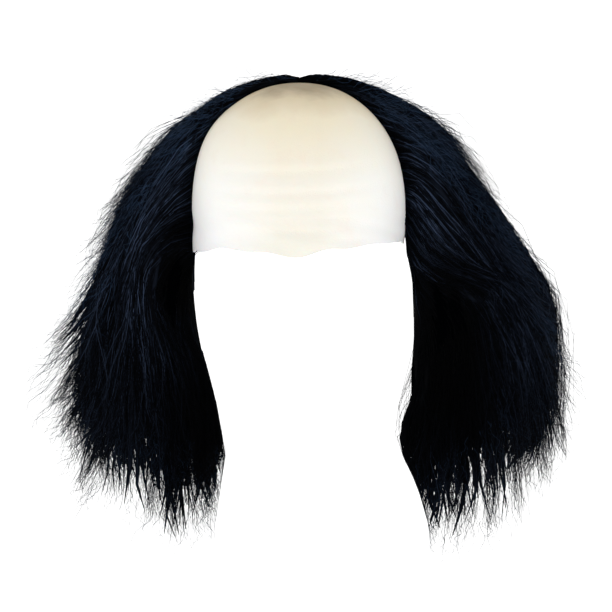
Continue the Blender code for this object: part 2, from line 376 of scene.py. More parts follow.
RIGHT_SECTIONS = (
    (0.06, 0.06, 0.00, 0.00, 1.00, 0.01, 0.01, 88, 2, 2.2, 0.80),
    (0.22, 0.22, 0.00, 0.00, 1.00, 0.03, 0.02, 90, 2, 2.2, 0.80),
    (0.36, 0.36, 0.00, 0.00, 1.00, 0.08, 0.09, 91, 2, 2.2, 0.75),
    (0.50, 0.50, 0.00, 0.00, 1.00, 0.18, 0.12, 93, 2, 2.2, 0.65),
    (0.66, 0.66, 0.00, 0.00, 1.00, 0.34, 0.11, 94, 2, 2.2, 0.50),
    (0.83, 0.83, 0.00, 0.00, 1.00, 0.48, 0.01, 96, 2, 2.2, 0.40),
    (1.00, 1.00, 0.00, 0.00, 1.00, 0.69, 0.05, 97, 2, 2.2, 0.30),
    (1.60, 1.60, 0.00, 0.00, 1.00, 0.76, 0.05, 99, 12, 2.2, 0.26),
    (2.00, 1.92, 0.06, 0.00, 1.02, 0.72, -0.02, 103, 27, 3.0, 0.30),
    (2.00, 2.00, 0.17, 0.02, 1.07, 0.79, -0.10, 108, 43, 4.0, 0.36),
    (2.00, 2.00, 0.34, 0.10, 1.09, 0.92, -0.10, 110, 50, 6.0, 0.40),
    (2.00, 2.00, 0.47, 0.36, 1.05, 0.86, -0.11, 111, 49, 8.0, 0.32),
    (2.00, 2.00, 0.60, 0.54, 1.00, 0.85, -0.15, 112, 48, 8.0, 0.32),
    (2.00, 2.00, 0.71, 0.69, 0.96, 0.88, -0.18, 113, 48, 8.0, 0.32),
    (2.00, 2.00, 0.80, 0.79, 0.96, 0.79, -0.15, 113, 48, 8.0, 0.32),
    (2.00, 2.00, 0.87, 0.87, 1.02, 0.72, -0.06, 114, 48, 8.0, 0.32),
)

# How strands run on the front, as seen from ahead: millimetres across, and down from the
# dome's top. Each row is one strand from its root to its tip, and the rows go from the
# crown to the temple.
LEFT_COMBING = (
    ((9, 5), (-20, 4), (-48, -4), (-72, -18), (-96, -39), (-117, -67), (-136, -101)),
    ((7, 3), (-27, 1), (-53, -11), (-76, -26), (-99, -48), (-119, -77), (-138, -111)),
    ((-27, -5), (-45, -11), (-67, -21), (-91, -42), (-113, -71), (-135, -107), (-150, -137)),
    ((-50, -17), (-69, -28), (-91, -49), (-113, -80), (-135, -120), (-153, -157), (-184, -196)),
    ((-65, -32), (-84, -48), (-106, -74), (-127, -113), (-141, -154), (-156, -199), (-183, -239)),
    ((-71, -51), (-90, -67), (-112, -97), (-130, -137), (-141, -182), (-155, -228), (-176, -266)),
    ((-76, -73), (-95, -88), (-116, -116), (-129, -157), (-135, -202), (-143, -249), (-165, -306)),
    ((-78, -92), (-98, -102), (-118, -125), (-125, -160), (-125, -205), (-127, -256), (-122, -318)),
    ((-78, -108), (-98, -114), (-113, -132), (-118, -160), (-113, -199), (-107, -249), (-104, -326)),
    ((-75, -118), (-91, -120), (-106, -134), (-111, -160), (-103, -197), (-95, -256), (-93, -340)),
    ((-75, -122), (-85, -125), (-98, -137), (-103, -160), (-92, -197), (-80, -256), (-76, -326)),
    ((-76, -132), (-81, -145), (-84, -160), (-84, -182), (-75, -219), (-67, -264), (-66, -315)),
    ((-78, -134), (-80, -150), (-80, -166), (-78, -188), (-68, -222), (-60, -264), (-62, -304)),
)

RIGHT_COMBING = (
    ((-9, 5), (24, 4), (52, -2), (78, -14), (102, -30), (120, -50), (136, -77)),
    ((-6, 3), (26, 3), (50, -5), (73, -17), (95, -33), (114, -58), (134, -90)),
    ((29, -6), (47, -11), (67, -21), (90, -36), (112, -60), (134, -87), (156, -114)),
    ((50, -21), (66, -26), (85, -37), (106, -58), (128, -88), (151, -119), (171, -152)),
    ((63, -37), (78, -42), (97, -55), (116, -80), (138, -116), (163, -152), (181, -184)),
    ((72, -55), (85, -58), (104, -71), (124, -98), (149, -132), (174, -168), (192, -204)),
    ((77, -73), (90, -79), (106, -98), (130, -125), (155, -153), (178, -193), (194, -240)),
    ((78, -89), (87, -98), (100, -119), (127, -134), (155, -150), (178, -197), (197, -276)),
    ((78, -102), (84, -113), (98, -132), (125, -141), (149, -160), (168, -209), (183, -298)),
    ((80, -113), (83, -125), (98, -141), (124, -150), (141, -175), (155, -227), (164, -316)),
    ((81, -120), (85, -135), (101, -151), (121, -165), (132, -197), (138, -256), (144, -334)),
    ((82, -132), (92, -153), (103, -168), (109, -190), (113, -227), (117, -271), (113, -338)),
    ((84, -145), (88, -168), (92, -190), (94, -219), (95, -256), (96, -286), (98, -332)),
    ((84, -147), (86, -170), (87, -192), (84, -218), (79, -250), (78, -278), (84, -312)),
)

# How strands run over the side and the back: section row and place from the front edge,
# 0, to the parting, 1. Each row is one strand, from the crown's to the nape's.
BACK_COMBING = (
    ((0.2, .55), (1.2, .40), (2.8, .33), (5.0, .30), (8.0, .29), (11.5, .29), (15.5, .30)),
    ((0.3, .75), (1.4, .55), (3.2, .43), (5.6, .38), (8.8, .36), (12.3, .36), (16.4, .37)),
    ((0.4, .90), (1.6, .70), (3.6, .55), (6.2, .46), (9.4, .43), (12.8, .43), (16.8, .44)),
    ((0.8, .97), (2.2, .80), (4.2, .66), (6.8, .55), (9.8, .50), (13.2, .49), (17.2, .50)),
    ((1.6, .97), (3.0, .85), (4.9, .72), (7.4, .62), (10.2, .57), (13.4, .55), (17.3, .56)),
    ((2.8, .97), (4.0, .88), (5.8, .78), (8.2, .69), (10.8, .64), (13.8, .61), (17.3, .61)),
    ((4.2, .97), (5.2, .91), (6.8, .83), (8.8, .76), (11.2, .70), (14.0, .67), (17.3, .67)),
    ((5.8, .97), (6.5, .94), (7.8, .88), (9.6, .82), (11.8, .77), (14.3, .73), (17.4, .72)),
    ((7.0, .97), (7.5, .96), (8.6, .92), (10.2, .88), (12.2, .83), (14.6, .79), (17.4, .77)),
    ((8.0, .99), (8.6, .98), (9.6, .96), (11.0, .93), (12.8, .90), (15.0, .86), (17.4, .83)),
)

# The clear opening as seen from ahead: height, and how far out the hair starts on each
# side, both in millimetres
LEFT_OPENING = ((-98, 0), (-111, 77), (-136, 79), (-155, 78), (-174, 75), (-197, 71),
                (-219, 65), (-239, 60), (-275, 54), (-303, 58), (-330, 62))
RIGHT_OPENING = ((-92, 0), (-105, 80), (-127, 81), (-142, 85), (-155, 86), (-197, 84),
                 (-219, 80), (-239, 75), (-262, 72), (-278, 77), (-295, 86), (-330, 96))


@dataclass(frozen=True)
class Hollow:
    """A hollow in the front of the hair, with painted shadow inside and a painted highlight
    round its rim, where strands are also sunk in: middle and half sizes, seen from ahead.
    """

    across: float
    height: float
    half_width: float
    half_height: float
    depth: float
    full: float = 0.4
    fade: float = 1.1
    rim: float = 1.5
    rim_half: float = 0.3

    def away(self, seen: np.ndarray) -> np.ndarray:
        """Distance from the middle, measured in half sizes."""
        return np.hypot((seen[..., 0] - self.across) / self.half_width,
                        (seen[..., 1] - self.height) / self.half_height)

    def strength(self, seen: np.ndarray) -> np.ndarray:
        """Full inside four tenths of the half sizes, eased to nothing at one and a half."""
        return 1.0 - ease((self.away(seen) - self.full) / self.fade)

    def ring(self, seen: np.ndarray) -> np.ndarray:
        """Bell curve round the distance of one and a half half sizes from the middle, where a
        painted highlight goes.
        """
        return np.exp(-((self.away(seen) - self.rim) / self.rim_half)**2)


@dataclass(frozen=True)
class ShadingSpot:
    """A place in the front of the hair with painted shade (gain below 1) or a painted highlight
    (gain above 1), seen from ahead.
    """

    across: float
    height: float
    half_width: float
    half_height: float
    gain: float

    def factor(self, seen: np.ndarray) -> np.ndarray:
        """One, changed towards the gain by a bell curve of the distance in half sizes.

        Args:
            seen: where points are seen, shape (..., 2).

        Returns:
            The factors on the tone.
        """
        over = (seen[..., 0] - self.across) / self.half_width
        down = (seen[..., 1] - self.height) / self.half_height
        return 1.0 + (self.gain - 1.0) * np.exp(-over**2 - down**2)


@dataclass(frozen=True)
class HairMass:
    """One mass of hair: the form that its solid has, as a surface of row, place and depth."""

    side: Side
    sections: Table
    opening: Table
    hollow: Hollow
    # Spots of painted shade and painted highlights on the front
    spots: tuple[ShadingSpot, ...]
    bulk: float
    fall: float
    neck_half: float
    hang_back: float = 0.0920
    scalp_gap: float = 0.0009
    parting_gap: float = 0.0006
    hairline_bulk: float = 0.10
    neck_leave: float = 0.10
    row_drop: float = 0.0115
    sink_y: float = 0.01
    sink_fade: float = 0.03
    slope_step: float = 0.01
    middle_across: float = 0.42
    middle_depth: float = 0.4

    @property
    def name(self) -> str:
        """The name of the solid that the mass stands for."""
        return "hair_left" if self.side is Side.LEFT else "hair_right"

    @property
    def last_row(self) -> int:
        """The number of the lowest section."""
        return len(self.sections) - 1

    def place(self, row: np.ndarray, across: np.ndarray, depth: np.ndarray) -> np.ndarray:
        """A point in the hair.

        The inner face follows the dome, then leaves it for the neck's rounded outline. The
        outer face stands off it by the bulk, times the square root of a half sine wave
        across, with some bulk left at both edges and less towards the parting.

        Args:
            row: section row, going on below the last one.
            across: 0 at the front edge, 0.5 at the side, 1 at the parting.
            depth: 0 on the inner face, 1 on the outer.

        Returns:
            Points, shape (..., 3).
        """
        row, across, depth = np.broadcast_arrays(row, across, depth)
        near = 0.5 * (2.0 * across)**2
        share = np.where(across < 0.5, near, 1.0 - 0.5 * (2.0 * (1.0 - across))**2)
        cut = dict(zip(SECTION_HEAD, np.moveaxis(
            read_rows(np.array(self.sections), row), -1, 0)))
        turn = mix(cut["front"], cut["rear"], share)
        angle = turn if self.side is Side.RIGHT else 360.0 - turn
        level = np.clip(mix(cut["cap_front"], cut["cap_rear"], ease(share)), 0.0, 2.0)
        point = DOME.point(angle, level, DOME.wall + self.scalp_gap)
        hang = np.maximum(mix(cut["fall_front"], cut["fall_rear"], ease(share)), 0.0)
        leave = ease(hang / self.neck_leave)
        neck_x, neck_y = DOME.ring(angle, self.neck_half * cut["neck"], DOME.front,
                                   self.hang_back, cut["square"])
        x = mix(point[..., 0], neck_x, leave)
        y = mix(point[..., 1], neck_y - DOME.apex_back, leave)
        z = point[..., 2] - hang * self.fall
        swell = np.sqrt(np.maximum(np.sin(math.pi * share), 0.0))
        floor = mix(self.hairline_bulk, cut["rear_bulk"], ease(share))
        thick = np.where(share < 0.5, mix(floor, 1.0, swell), np.maximum(swell, floor))
        thin = mix(1.0, cut["rear_bulk"], ease(2.0 * share - 1.0))
        stand = self.bulk * thick * thin * depth
        heading = np.radians(angle)
        x = x + np.sin(heading) * cut["out"] * stand + self.side.value * self.parting_gap / 2
        y = y + np.cos(heading) * cut["out"] * stand
        below = np.maximum(row - self.last_row, 0.0)
        z = z + cut["up"] * stand - below * self.row_drop
        return self.keep_open(np.stack([x, y, z], -1))

    def keep_open(self, points: np.ndarray) -> np.ndarray:
        """Push points sideways out of the clear opening under the dome.

        Args:
            points: shape (..., 3).

        Returns:
            The points, none of them nearer the middle than the opening's edge.
        """
        seen = VIEW.seen(points)
        heights, widths = np.array(self.opening[::-1], float).T * MILLIMETRE
        limit = np.interp(seen[..., 1], heights, widths, right=0.0)
        reach = np.maximum(self.side.value * points[..., 0], limit)
        return np.concatenate([(self.side.value * reach)[..., None], points[..., 1:]], -1)

    def outward(self, row: np.ndarray, across: np.ndarray) -> np.ndarray:
        """Direction away from the hair's middle, square to the outer face.

        It is the cross product of the face's slopes across and down.

        Args:
            row: section row.
            across: 0 at the front edge, 1 at the parting.

        Returns:
            Directions, shape (..., 3).
        """
        step = self.slope_step
        over = self.place(row, across + step, 1.0) - self.place(row, across - step, 1.0)
        down = self.place(row + step, across, 1.0) - self.place(row - step, across, 1.0)
        square = unit(np.cross(over, down))
        middle = self.place(row, np.full(np.shape(row), self.middle_across), self.middle_depth)
        away = self.place(row, across, 1.0) - middle
        return square * np.sign(np.sum(square * away, -1, keepdims=True) + NO_TILT)

    def sink(self, points: np.ndarray, outward: np.ndarray) -> np.ndarray:
        """Move points inwards where the front has its hollow.

        Args:
            points: shape (..., 3).
            outward: outward directions there.

        Returns:
            The points, less the hollow's depth times its strength.
        """
        strength = self.hollow.strength(VIEW.seen(points))
        strength = strength * ease((self.sink_y - points[..., 1]) / self.sink_fade)
        return points - outward * (self.hollow.depth * strength)[..., None]


class Sheet:
    """A sheet of combed strands: their paths and outward directions, read at any label."""

    row_step: float = 0.05
    rows_below: float = 1.2
    front_across: tuple[float, float] = (0.004, 0.44)
    front_steps: int = 90
    seen_near: float = 0.003
    seen_weight: float = 20.0
    back_rows: float = 16.0

    def __init__(self, mass: HairMass, points: np.ndarray, outward: np.ndarray) -> None:
        """Keep the strand table.

        Args:
            mass: the hair mass it lies on.
            points: control points, shape (strands, points, 3).
            outward: outward directions there, in the same shape.
        """
        self.mass = mass
        self.points = points
        self.outward = outward

    @classmethod
    def on_front(cls, mass: HairMass, combing: Combing) -> "Sheet":
        """Lay strands that are known as seen from ahead on the front of a mass.

        Each control point goes to the foremost point of the surface that is seen within
        3 mm of it, and is then moved in the picture's plane by what is left over.

        Args:
            mass: the hair mass.
            combing: rows of (across, height) in millimetres.

        Returns:
            The sheet.
        """
        rows = np.arange(0.0, mass.last_row + cls.rows_below, cls.row_step)
        across = np.linspace(*cls.front_across, cls.front_steps)
        row_grid, across_grid = np.meshgrid(rows, across, indexing="ij")
        surface = mass.place(row_grid, across_grid, 1.0).reshape(-1, 3)
        seen = VIEW.seen(surface)
        wanted = np.array(combing, float) * MILLIMETRE
        flat = wanted.reshape(-1, 2)
        gaps = np.linalg.norm(seen[None] - flat[:, None], axis=-1)
        missed = cls.seen_weight * np.maximum(gaps - cls.seen_near, 0.0)
        nearest = np.argmin(surface[None, :, 1] + missed, axis=1)
        points = surface[nearest]
        shift = flat - seen[nearest]
        points = points + np.stack([shift[:, 0], np.zeros(len(shift)), shift[:, 1]], -1)
        outward = mass.outward(row_grid.reshape(-1)[nearest], across_grid.reshape(-1)[nearest])
        shape = (*wanted.shape[:2], 3)
        return cls(mass, points.reshape(shape), outward.reshape(shape))

    @classmethod
    def on_back(cls, mass: HairMass, combing: Combing) -> "Sheet":
        """Lay strands that are known by row and place on the side and back of a mass.

        Args:
            mass: the hair mass.
            combing: rows of (section row of a mass whose last row is 16, place).

        Returns:
            The sheet.
        """
        table = np.array(combing, float)
        row = table[..., 0] * mass.last_row / cls.back_rows
        across = table[..., 1]
        return cls(mass, mass.place(row, across, 1.0), mass.outward(row, across))

    @property
    def last_label(self) -> float:
        """The label of the last strand in the table."""
        return float(len(self.points) - 1)

    def read(self, label: np.ndarray, at: np.ndarray) -> tuple[np.ndarray, np.ndarray]:
        """Paths and outward directions of strands between those of the table.

        Args:
            label: place among the table's strands, shape (strands,).
            at: shares along them, shape (strands, samples).

        Returns:
            Points and directions, each of shape (strands, samples, 3).
        """
        held = np.clip(label, 0.0, self.last_label)
        steps = self.points.shape[1]
        both = []
        for table in (self.points, self.outward):
            lines = read_rows(table.reshape(len(table), -1), held)
            both.append(read_along(lines.reshape(len(held), steps, 3), at))
        return both[0], unit(both[1])


@dataclass
class Shape:
    """Points and faces worked out as whole arrays, with values for the finish."""

    points: np.ndarray
    faces: list[np.ndarray]
    values: dict[str, np.ndarray] = field(default_factory=dict)

    def volume(self) -> float:
        """Add up the triple products of each face's fan of corners.

        Returns:
            Six times the signed volume.
        """
        total = 0.0
        for block in self.faces:
            corners = self.points[block]
            for index in range(1, block.shape[1] - 1):
                total += float(np.sum(corners[:, 0] * np.cross(
                    corners[:, index], corners[:, index + 1])))
        return total

    def outside_out(self) -> "Shape":
        """Turn the faces outwards, if the signed volume is negative.

        Returns:
            The shape itself.
        """
        if self.volume() < 0.0:
            self.faces = [block[:, ::-1] for block in self.faces]
        return self

    def triangles(self) -> int:
        """How many triangles the faces come to."""
        return sum(len(block) * (block.shape[1] - 2) for block in self.faces)


def headings(paths: np.ndarray, outward: np.ndarray) -> tuple[np.ndarray, np.ndarray]:
    """Each path's own direction, and the direction beside it that is square to outward."""
    along = unit(np.gradient(paths, axis=1))
    return along, unit(np.cross(outward, along))


def sweep(paths: np.ndarray, outward: np.ndarray, half_width: np.ndarray,
          half_height: np.ndarray, corners: int) -> Shape:
    """Carry a many-cornered section along each path and close both ends.

    Corner k stands at the path plus cosine(2 pi k / n) of the half width sideways, plus
    sine of the half height outwards.

    Args:
        paths: shape (strands, samples, 3).
        outward: direction that the section's height points in, in the same shape.
        half_width: shape (strands, samples).
        half_height: shape (strands, samples).
        corners: corners of the section.

    Returns:
        The closed tubes as one shape.
    """
    count, samples = paths.shape[:2]
    along, sideways = headings(paths, outward)
    upward = np.cross(along, sideways)
    turn = TURN * np.arange(corners) / corners
    spread = np.cos(turn)[:, None] * half_width[..., None, None]
    rise = np.sin(turn)[:, None] * half_height[..., None, None]
    rings = (paths[:, :, None] + spread * sideways[:, :, None] + rise * upward[:, :, None])
    first = (np.arange(count) * samples * corners)[:, None, None]
    ring = (np.arange(samples - 1) * corners)[None, :, None]
    here = np.arange(corners)[None, None]
    after = (here + 1) % corners
    quads = np.stack([first + ring + here, first + ring + after,
                      first + ring + corners + after, first + ring + corners + here], -1)
    starts = first[:, 0] + np.arange(corners)[::-1]
    ends = first[:, 0] + (samples - 1) * corners + np.arange(corners)
    return Shape(rings.reshape(-1, 3), [quads.reshape(-1, 4), starts, ends])


def closed_stack(rings: np.ndarray) -> Shape:
    """Join closed rings into a tube, with a fan to the middle of the first and the last.

    Args:
        rings: shape (rings, points, 3).

    Returns:
        The closed shape.
    """
    count, around = rings.shape[:2]
    ring = (np.arange(count - 1) * around)[:, None]
    here = np.arange(around)[None]
    after = (here + 1) % around
    quads = np.stack([ring + here, ring + after, ring + around + after,
                      ring + around + here], -1).reshape(-1, 4)
    poles = np.stack([rings[0].mean(0), rings[-1].mean(0)])
    low, high = count * around, count * around + 1
    index, following = np.arange(around), (np.arange(around) + 1) % around
    top = np.stack([np.full(around, low), following, index], -1)
    base = (count - 1) * around
    bottom = np.stack([np.full(around, high), base + index, base + following], -1)
    return Shape(np.concatenate([rings.reshape(-1, 3), poles]),
                 [quads, top, bottom]).outside_out()


def add_piece(name: str, shape: Shape, material: bpy.types.Material,
              node: str) -> bpy.types.Object:
    """Put a shape into the scene as a piece that stands for a solid.

    Args:
        name: the piece's name.
        shape: its points, faces and values.
        material: its finish.
        node: the solid that it stands for.

    Returns:
        The new object.
    """
    mesh = bpy.data.meshes.new(name)
    mesh.vertices.add(len(shape.points))
    mesh.vertices.foreach_set("co", shape.points.astype(np.float32).ravel())
    sizes = np.concatenate([np.full(len(block), block.shape[1]) for block in shape.faces])
    corners = np.concatenate([block.ravel() for block in shape.faces])
    mesh.loops.add(len(corners))
    mesh.loops.foreach_set("vertex_index", corners.astype(np.int32))
    mesh.polygons.add(len(sizes))
    starts = np.concatenate([[0], np.cumsum(sizes)[:-1]])
    mesh.polygons.foreach_set("loop_start", starts.astype(np.int32))
    mesh.polygons.foreach_set("use_smooth", np.ones(len(sizes), dtype=bool))
    mesh.update(calc_edges=True)
    for key, values in shape.values.items():
        layer = mesh.attributes.new(key, "FLOAT", "POINT")
        layer.data.foreach_set("value", values.astype(np.float32))
    mesh.materials.append(material)
    piece = bpy.data.objects.new(name, mesh)
    bpy.context.scene.collection.objects.link(piece)
    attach(piece, "root")
    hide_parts(node)
    LOG.info("%s: %d triangles", name, shape.triangles())
    return piece


class Board:
    """A material's sheet of nodes, with short ways to add and join them."""

    def __init__(self, name: str) -> None:
        """Start a material with its plain shader.

        Args:
            name: the material's name.
        """
        self.material = bpy.data.materials.new(name)
        self.material.use_nodes = True
        self.tree = self.material.node_tree
        self.shader = self.tree.nodes["Principled BSDF"]

    def set(self, **values: object) -> None:
        """Set numbers on the shader's own sockets, named with _ for a space."""
        for key, value in values.items():
            self.shader.inputs[key.replace("_", " ")].default_value = value

    def node(self, kind: str, **settings: object) -> bpy.types.Node:
        """Add a node.

        Args:
            kind: the node's type.
            settings: its properties.

        Returns:
            The node.
        """
        node = self.tree.nodes.new(kind)
        for key, value in settings.items():
            setattr(node, key, value)
        return node

    def join(self, source: bpy.types.NodeSocket, target: bpy.types.NodeSocket) -> None:
        """Link one socket to another."""
        self.tree.links.new(source, target)

    def place(self) -> bpy.types.NodeSocket:
        """The object's own coordinates."""
        return self.node("ShaderNodeTexCoord").outputs["Object"]

    def value(self, name: str) -> bpy.types.NodeSocket:
        """A value stored on the mesh."""
        return self.node("ShaderNodeAttribute", attribute_name=name).outputs["Fac"]

    def sums(self, operation: str, first: object, second: object = 0.0,
             third: object = 0.0) -> bpy.types.NodeSocket:
        """Add a maths node.

        Args:
            operation: what it works out.
            first: a socket or a number.
            second: the same.
            third: the same.

        Returns:
            The result's socket.
        """
        node = self.node("ShaderNodeMath", operation=operation)
        for index, given in enumerate((first, second, third)):
            if isinstance(given, bpy.types.NodeSocket):
                self.join(given, node.inputs[index])
            else:
                node.inputs[index].default_value = given
        return node.outputs[0]

    def noise(self, where: bpy.types.NodeSocket, scale: float, detail: float = 3.0,
              rough: float = 0.5) -> bpy.types.NodeSocket:
        """Add a noise pattern.

        Args:
            where: the coordinates.
            scale: its scale.
            detail: how many finer layers it has.
            rough: how strong they are.

        Returns:
            The pattern's value.
        """
        node = self.node("ShaderNodeTexNoise")
        node.inputs["Scale"].default_value = scale
        node.inputs["Detail"].default_value = detail
        node.inputs["Roughness"].default_value = rough
        self.join(where, node.inputs["Vector"])
        return node.outputs["Fac"]

    def ramp(self, factor: bpy.types.NodeSocket,
             stops: Sequence[tuple[float, tuple[float, float, float]]]) -> bpy.types.NodeSocket:
        """Give colours along a factor.

        Args:
            factor: the factor.
            stops: places along it and their colours.

        Returns:
            The colour.
        """
        node = self.node("ShaderNodeValToRGB")
        while len(node.color_ramp.elements) < len(stops):
            node.color_ramp.elements.new(1.0)
        for element, (at, colour) in zip(node.color_ramp.elements, stops):
            element.position = at
            element.color = (*colour, 1.0)
        self.join(factor, node.inputs["Fac"])
        return node.outputs["Color"]

    def spread(self, factor: bpy.types.NodeSocket, low: float, high: float,
               to_low: float, to_high: float) -> bpy.types.NodeSocket:
        """Map a range of values to another, held at its ends.

        Args:
            factor: the value.
            low: the first range's start.
            high: its end.
            to_low: the second range's start.
            to_high: its end.

        Returns:
            The mapped value.
        """
        node = self.node("ShaderNodeMapRange")
        for key, given in (("From Min", low), ("From Max", high), ("To Min", to_low),
                           ("To Max", to_high)):
            node.inputs[key].default_value = given
        self.join(factor, node.inputs["Value"])
        return node.outputs["Result"]

    def tint(self, factor: bpy.types.NodeSocket, base: bpy.types.NodeSocket,
             other: object) -> bpy.types.NodeSocket:
        """Lay a colour over another.

        Args:
            factor: how much of it shows.
            base: the colour below.
            other: the colour on top, or a socket that gives it.

        Returns:
            The mixed colour.
        """
        node = self.node("ShaderNodeMix", data_type="RGBA")
        self.join(factor, node.inputs[0])
        self.join(base, node.inputs[6])
        if isinstance(other, bpy.types.NodeSocket):
            self.join(other, node.inputs[7])
        else:
            node.inputs[7].default_value = (*other, 1.0)
        return node.outputs[2]

    def bump(self, height: bpy.types.NodeSocket, strength: float,
             distance: float) -> None:
        """Raise the surface by a height pattern.

        Args:
            height: the pattern.
            strength: how much of it shows.
            distance: the height that a value of 1 stands for, in metres.
        """
        node = self.node("ShaderNodeBump")
        node.inputs["Strength"].default_value = strength
        node.inputs["Distance"].default_value = distance
        self.join(height, node.inputs["Height"])
        self.join(node.outputs["Normal"], self.shader.inputs["Normal"])


@dataclass(frozen=True)
class LatexFinish:
    """Matt cream latex, mottled and pored: tan at the crown, nearly white at the sides.
    The crown's tan is partly the latex's own colour and partly painted shade, where the
    dome turns up away from the light and the hair shades it. The lighter, whiter sides are
    partly painted light where the front lamps leave them dimmer, and partly the latex's
    own warmer middle.

    The colours go from the brow up to the crown, at the levels of the same order.
    """

    levels: tuple[float, ...] = (0.0, 0.45, 0.78, 0.91, 1.0)
    # Painted shade: the crown and tan colours are partly the latex's own tan and partly shade
    # painted on the top of the dome
    crown_tan_and_shade: tuple[float, float, float] = (0.40, 0.325, 0.21)
    tan_and_shade: tuple[float, float, float] = (0.74, 0.64, 0.45)
    upper: tuple[float, float, float] = (0.87, 0.79, 0.60)
    middle: tuple[float, float, float] = (0.81, 0.775, 0.69)
    brow: tuple[float, float, float] = (0.755, 0.74, 0.66)
    # Painted light: the side colours are lighter and whiter than the middle ones, partly to light
    # the sides that the front lamps leave dimmer, partly for the latex's own warmer middle
    side_upper: tuple[float, float, float] = (0.91, 0.85, 0.70)
    side_middle: tuple[float, float, float] = (0.90, 0.89, 0.845)
    side_brow: tuple[float, float, float] = (0.85, 0.853, 0.86)
    blush: tuple[float, float, float] = (0.80, 0.62, 0.48)
    brow_height: float = -0.122
    crown_height: float = 0.002
    side_from: float = 0.015
    side_to: float = 0.060
    cloud_scale: float = 16.0
    drift: float = 0.05
    blush_scale: float = 42.0
    blush_from: float = 0.55
    blush_to: float = 0.80
    blush_strength: float = 0.22
    pore_scale: float = 900.0
    crease_scale: float = 130.0
    crease_share: float = 0.7
    relief: float = 0.35
    relief_height: float = 0.0005
    smooth: float = 0.46
    rough: float = 0.60
    shine: float = 0.3
    glow: float = 0.10
    glow_reach: float = 0.004

    def make(self) -> bpy.types.Material:
        """Build the material.

        Returns:
            The latex material.
        """
        board = Board("cream_latex")
        where = board.place()
        split = board.node("ShaderNodeSeparateXYZ")
        board.join(where, split.inputs[0])
        height = board.spread(split.outputs["Z"], self.brow_height, self.crown_height, 0.0, 1.0)
        clouds = board.noise(where, self.cloud_scale, detail=4.0, rough=0.6)
        drift = board.spread(clouds, NOISE_LOW, NOISE_HIGH, -self.drift, self.drift)
        level = board.sums("ADD", height, drift)
        # The ramp paints shade towards the crown, over the latex's own tan, and the blend to the
        # side colours paints light on the sides
        middle = (self.brow, self.middle, self.upper, self.tan_and_shade, self.crown_tan_and_shade)
        side = (self.side_brow, self.side_middle, self.side_upper, self.tan_and_shade, self.crown_tan_and_shade)
        colour, beside = (board.ramp(level, tuple(zip(self.levels, colours)))
                          for colours in (middle, side))
        sideways = board.sums("ABSOLUTE", split.outputs["X"])
        share = board.spread(sideways, self.side_from, self.side_to, 0.0, 1.0)
        colour = board.tint(share, colour, beside)
        patches = board.noise(where, self.blush_scale, rough=0.6)
        spots = board.spread(patches, self.blush_from, self.blush_to, 0.0, self.blush_strength)
        colour = board.tint(spots, colour, self.blush)
        board.join(colour, board.shader.inputs["Base Color"])
        pores = board.noise(where, self.pore_scale, detail=2.0)
        creases = board.noise(where, self.crease_scale, detail=4.0, rough=0.6)
        skin = board.sums("MULTIPLY_ADD", creases, self.crease_share, pores)
        board.bump(skin, self.relief, self.relief_height)
        rough = board.spread(clouds, NOISE_LOW, NOISE_HIGH, self.smooth, self.rough)
        board.join(rough, board.shader.inputs["Roughness"])
        board.set(Specular_IOR_Level=self.shine, Subsurface_Weight=self.glow,
                  Subsurface_Scale=self.glow_reach, Metallic=0.0)
        return board.material


@dataclass(frozen=True)
class HairFinish:
    """Blue-black hair fibre, lighter where a strand's stored tone is higher; that tone is the
    strands' own random tone times the painted shade and highlights of the shading.
    """

    name: str = "blue_black_hair"
    dark: tuple[float, float, float] = (0.0004, 0.0005, 0.0008)
    light: tuple[float, float, float] = (0.041, 0.060, 0.107)
    shine: float = 0.025
    roughness: float = 0.34
    dark_roughness: float = 0.3
    tip_roughness: float = 0.08
    grain_scale: float = 260.0
    grain_dark: float = 0.7
    grain_light: float = 1.2
    relief: float = 0.1
    relief_height: float = 0.0002

    def make(self) -> bpy.types.Material:
        """Build the material of single strands.

        Returns:
            The hair material.
        """
        board = Board(self.name)
        tone = board.value("tone")
        along = board.value("along")
        grain = board.noise(board.place(), self.grain_scale, detail=2.0)
        fibre = board.spread(grain, NOISE_LOW, NOISE_HIGH, self.grain_dark, self.grain_light)
        # The tone holds the painted shade and highlights as well as the strands' own tone
        shade = board.sums("MULTIPLY", tone, fibre)
        colour = board.ramp(shade, ((0.0, self.dark), (1.0, self.light)))
        board.join(colour, board.shader.inputs["Base Color"])
        rough = board.spread(tone, 0.0, 1.0, self.roughness + self.dark_roughness,
                             self.roughness)
        board.join(board.sums("MULTIPLY_ADD", along, self.tip_roughness, rough),
                   board.shader.inputs["Roughness"])
        board.bump(grain, self.relief, self.relief_height)
        board.set(Specular_IOR_Level=self.shine, Metallic=0.0)
        return board.material


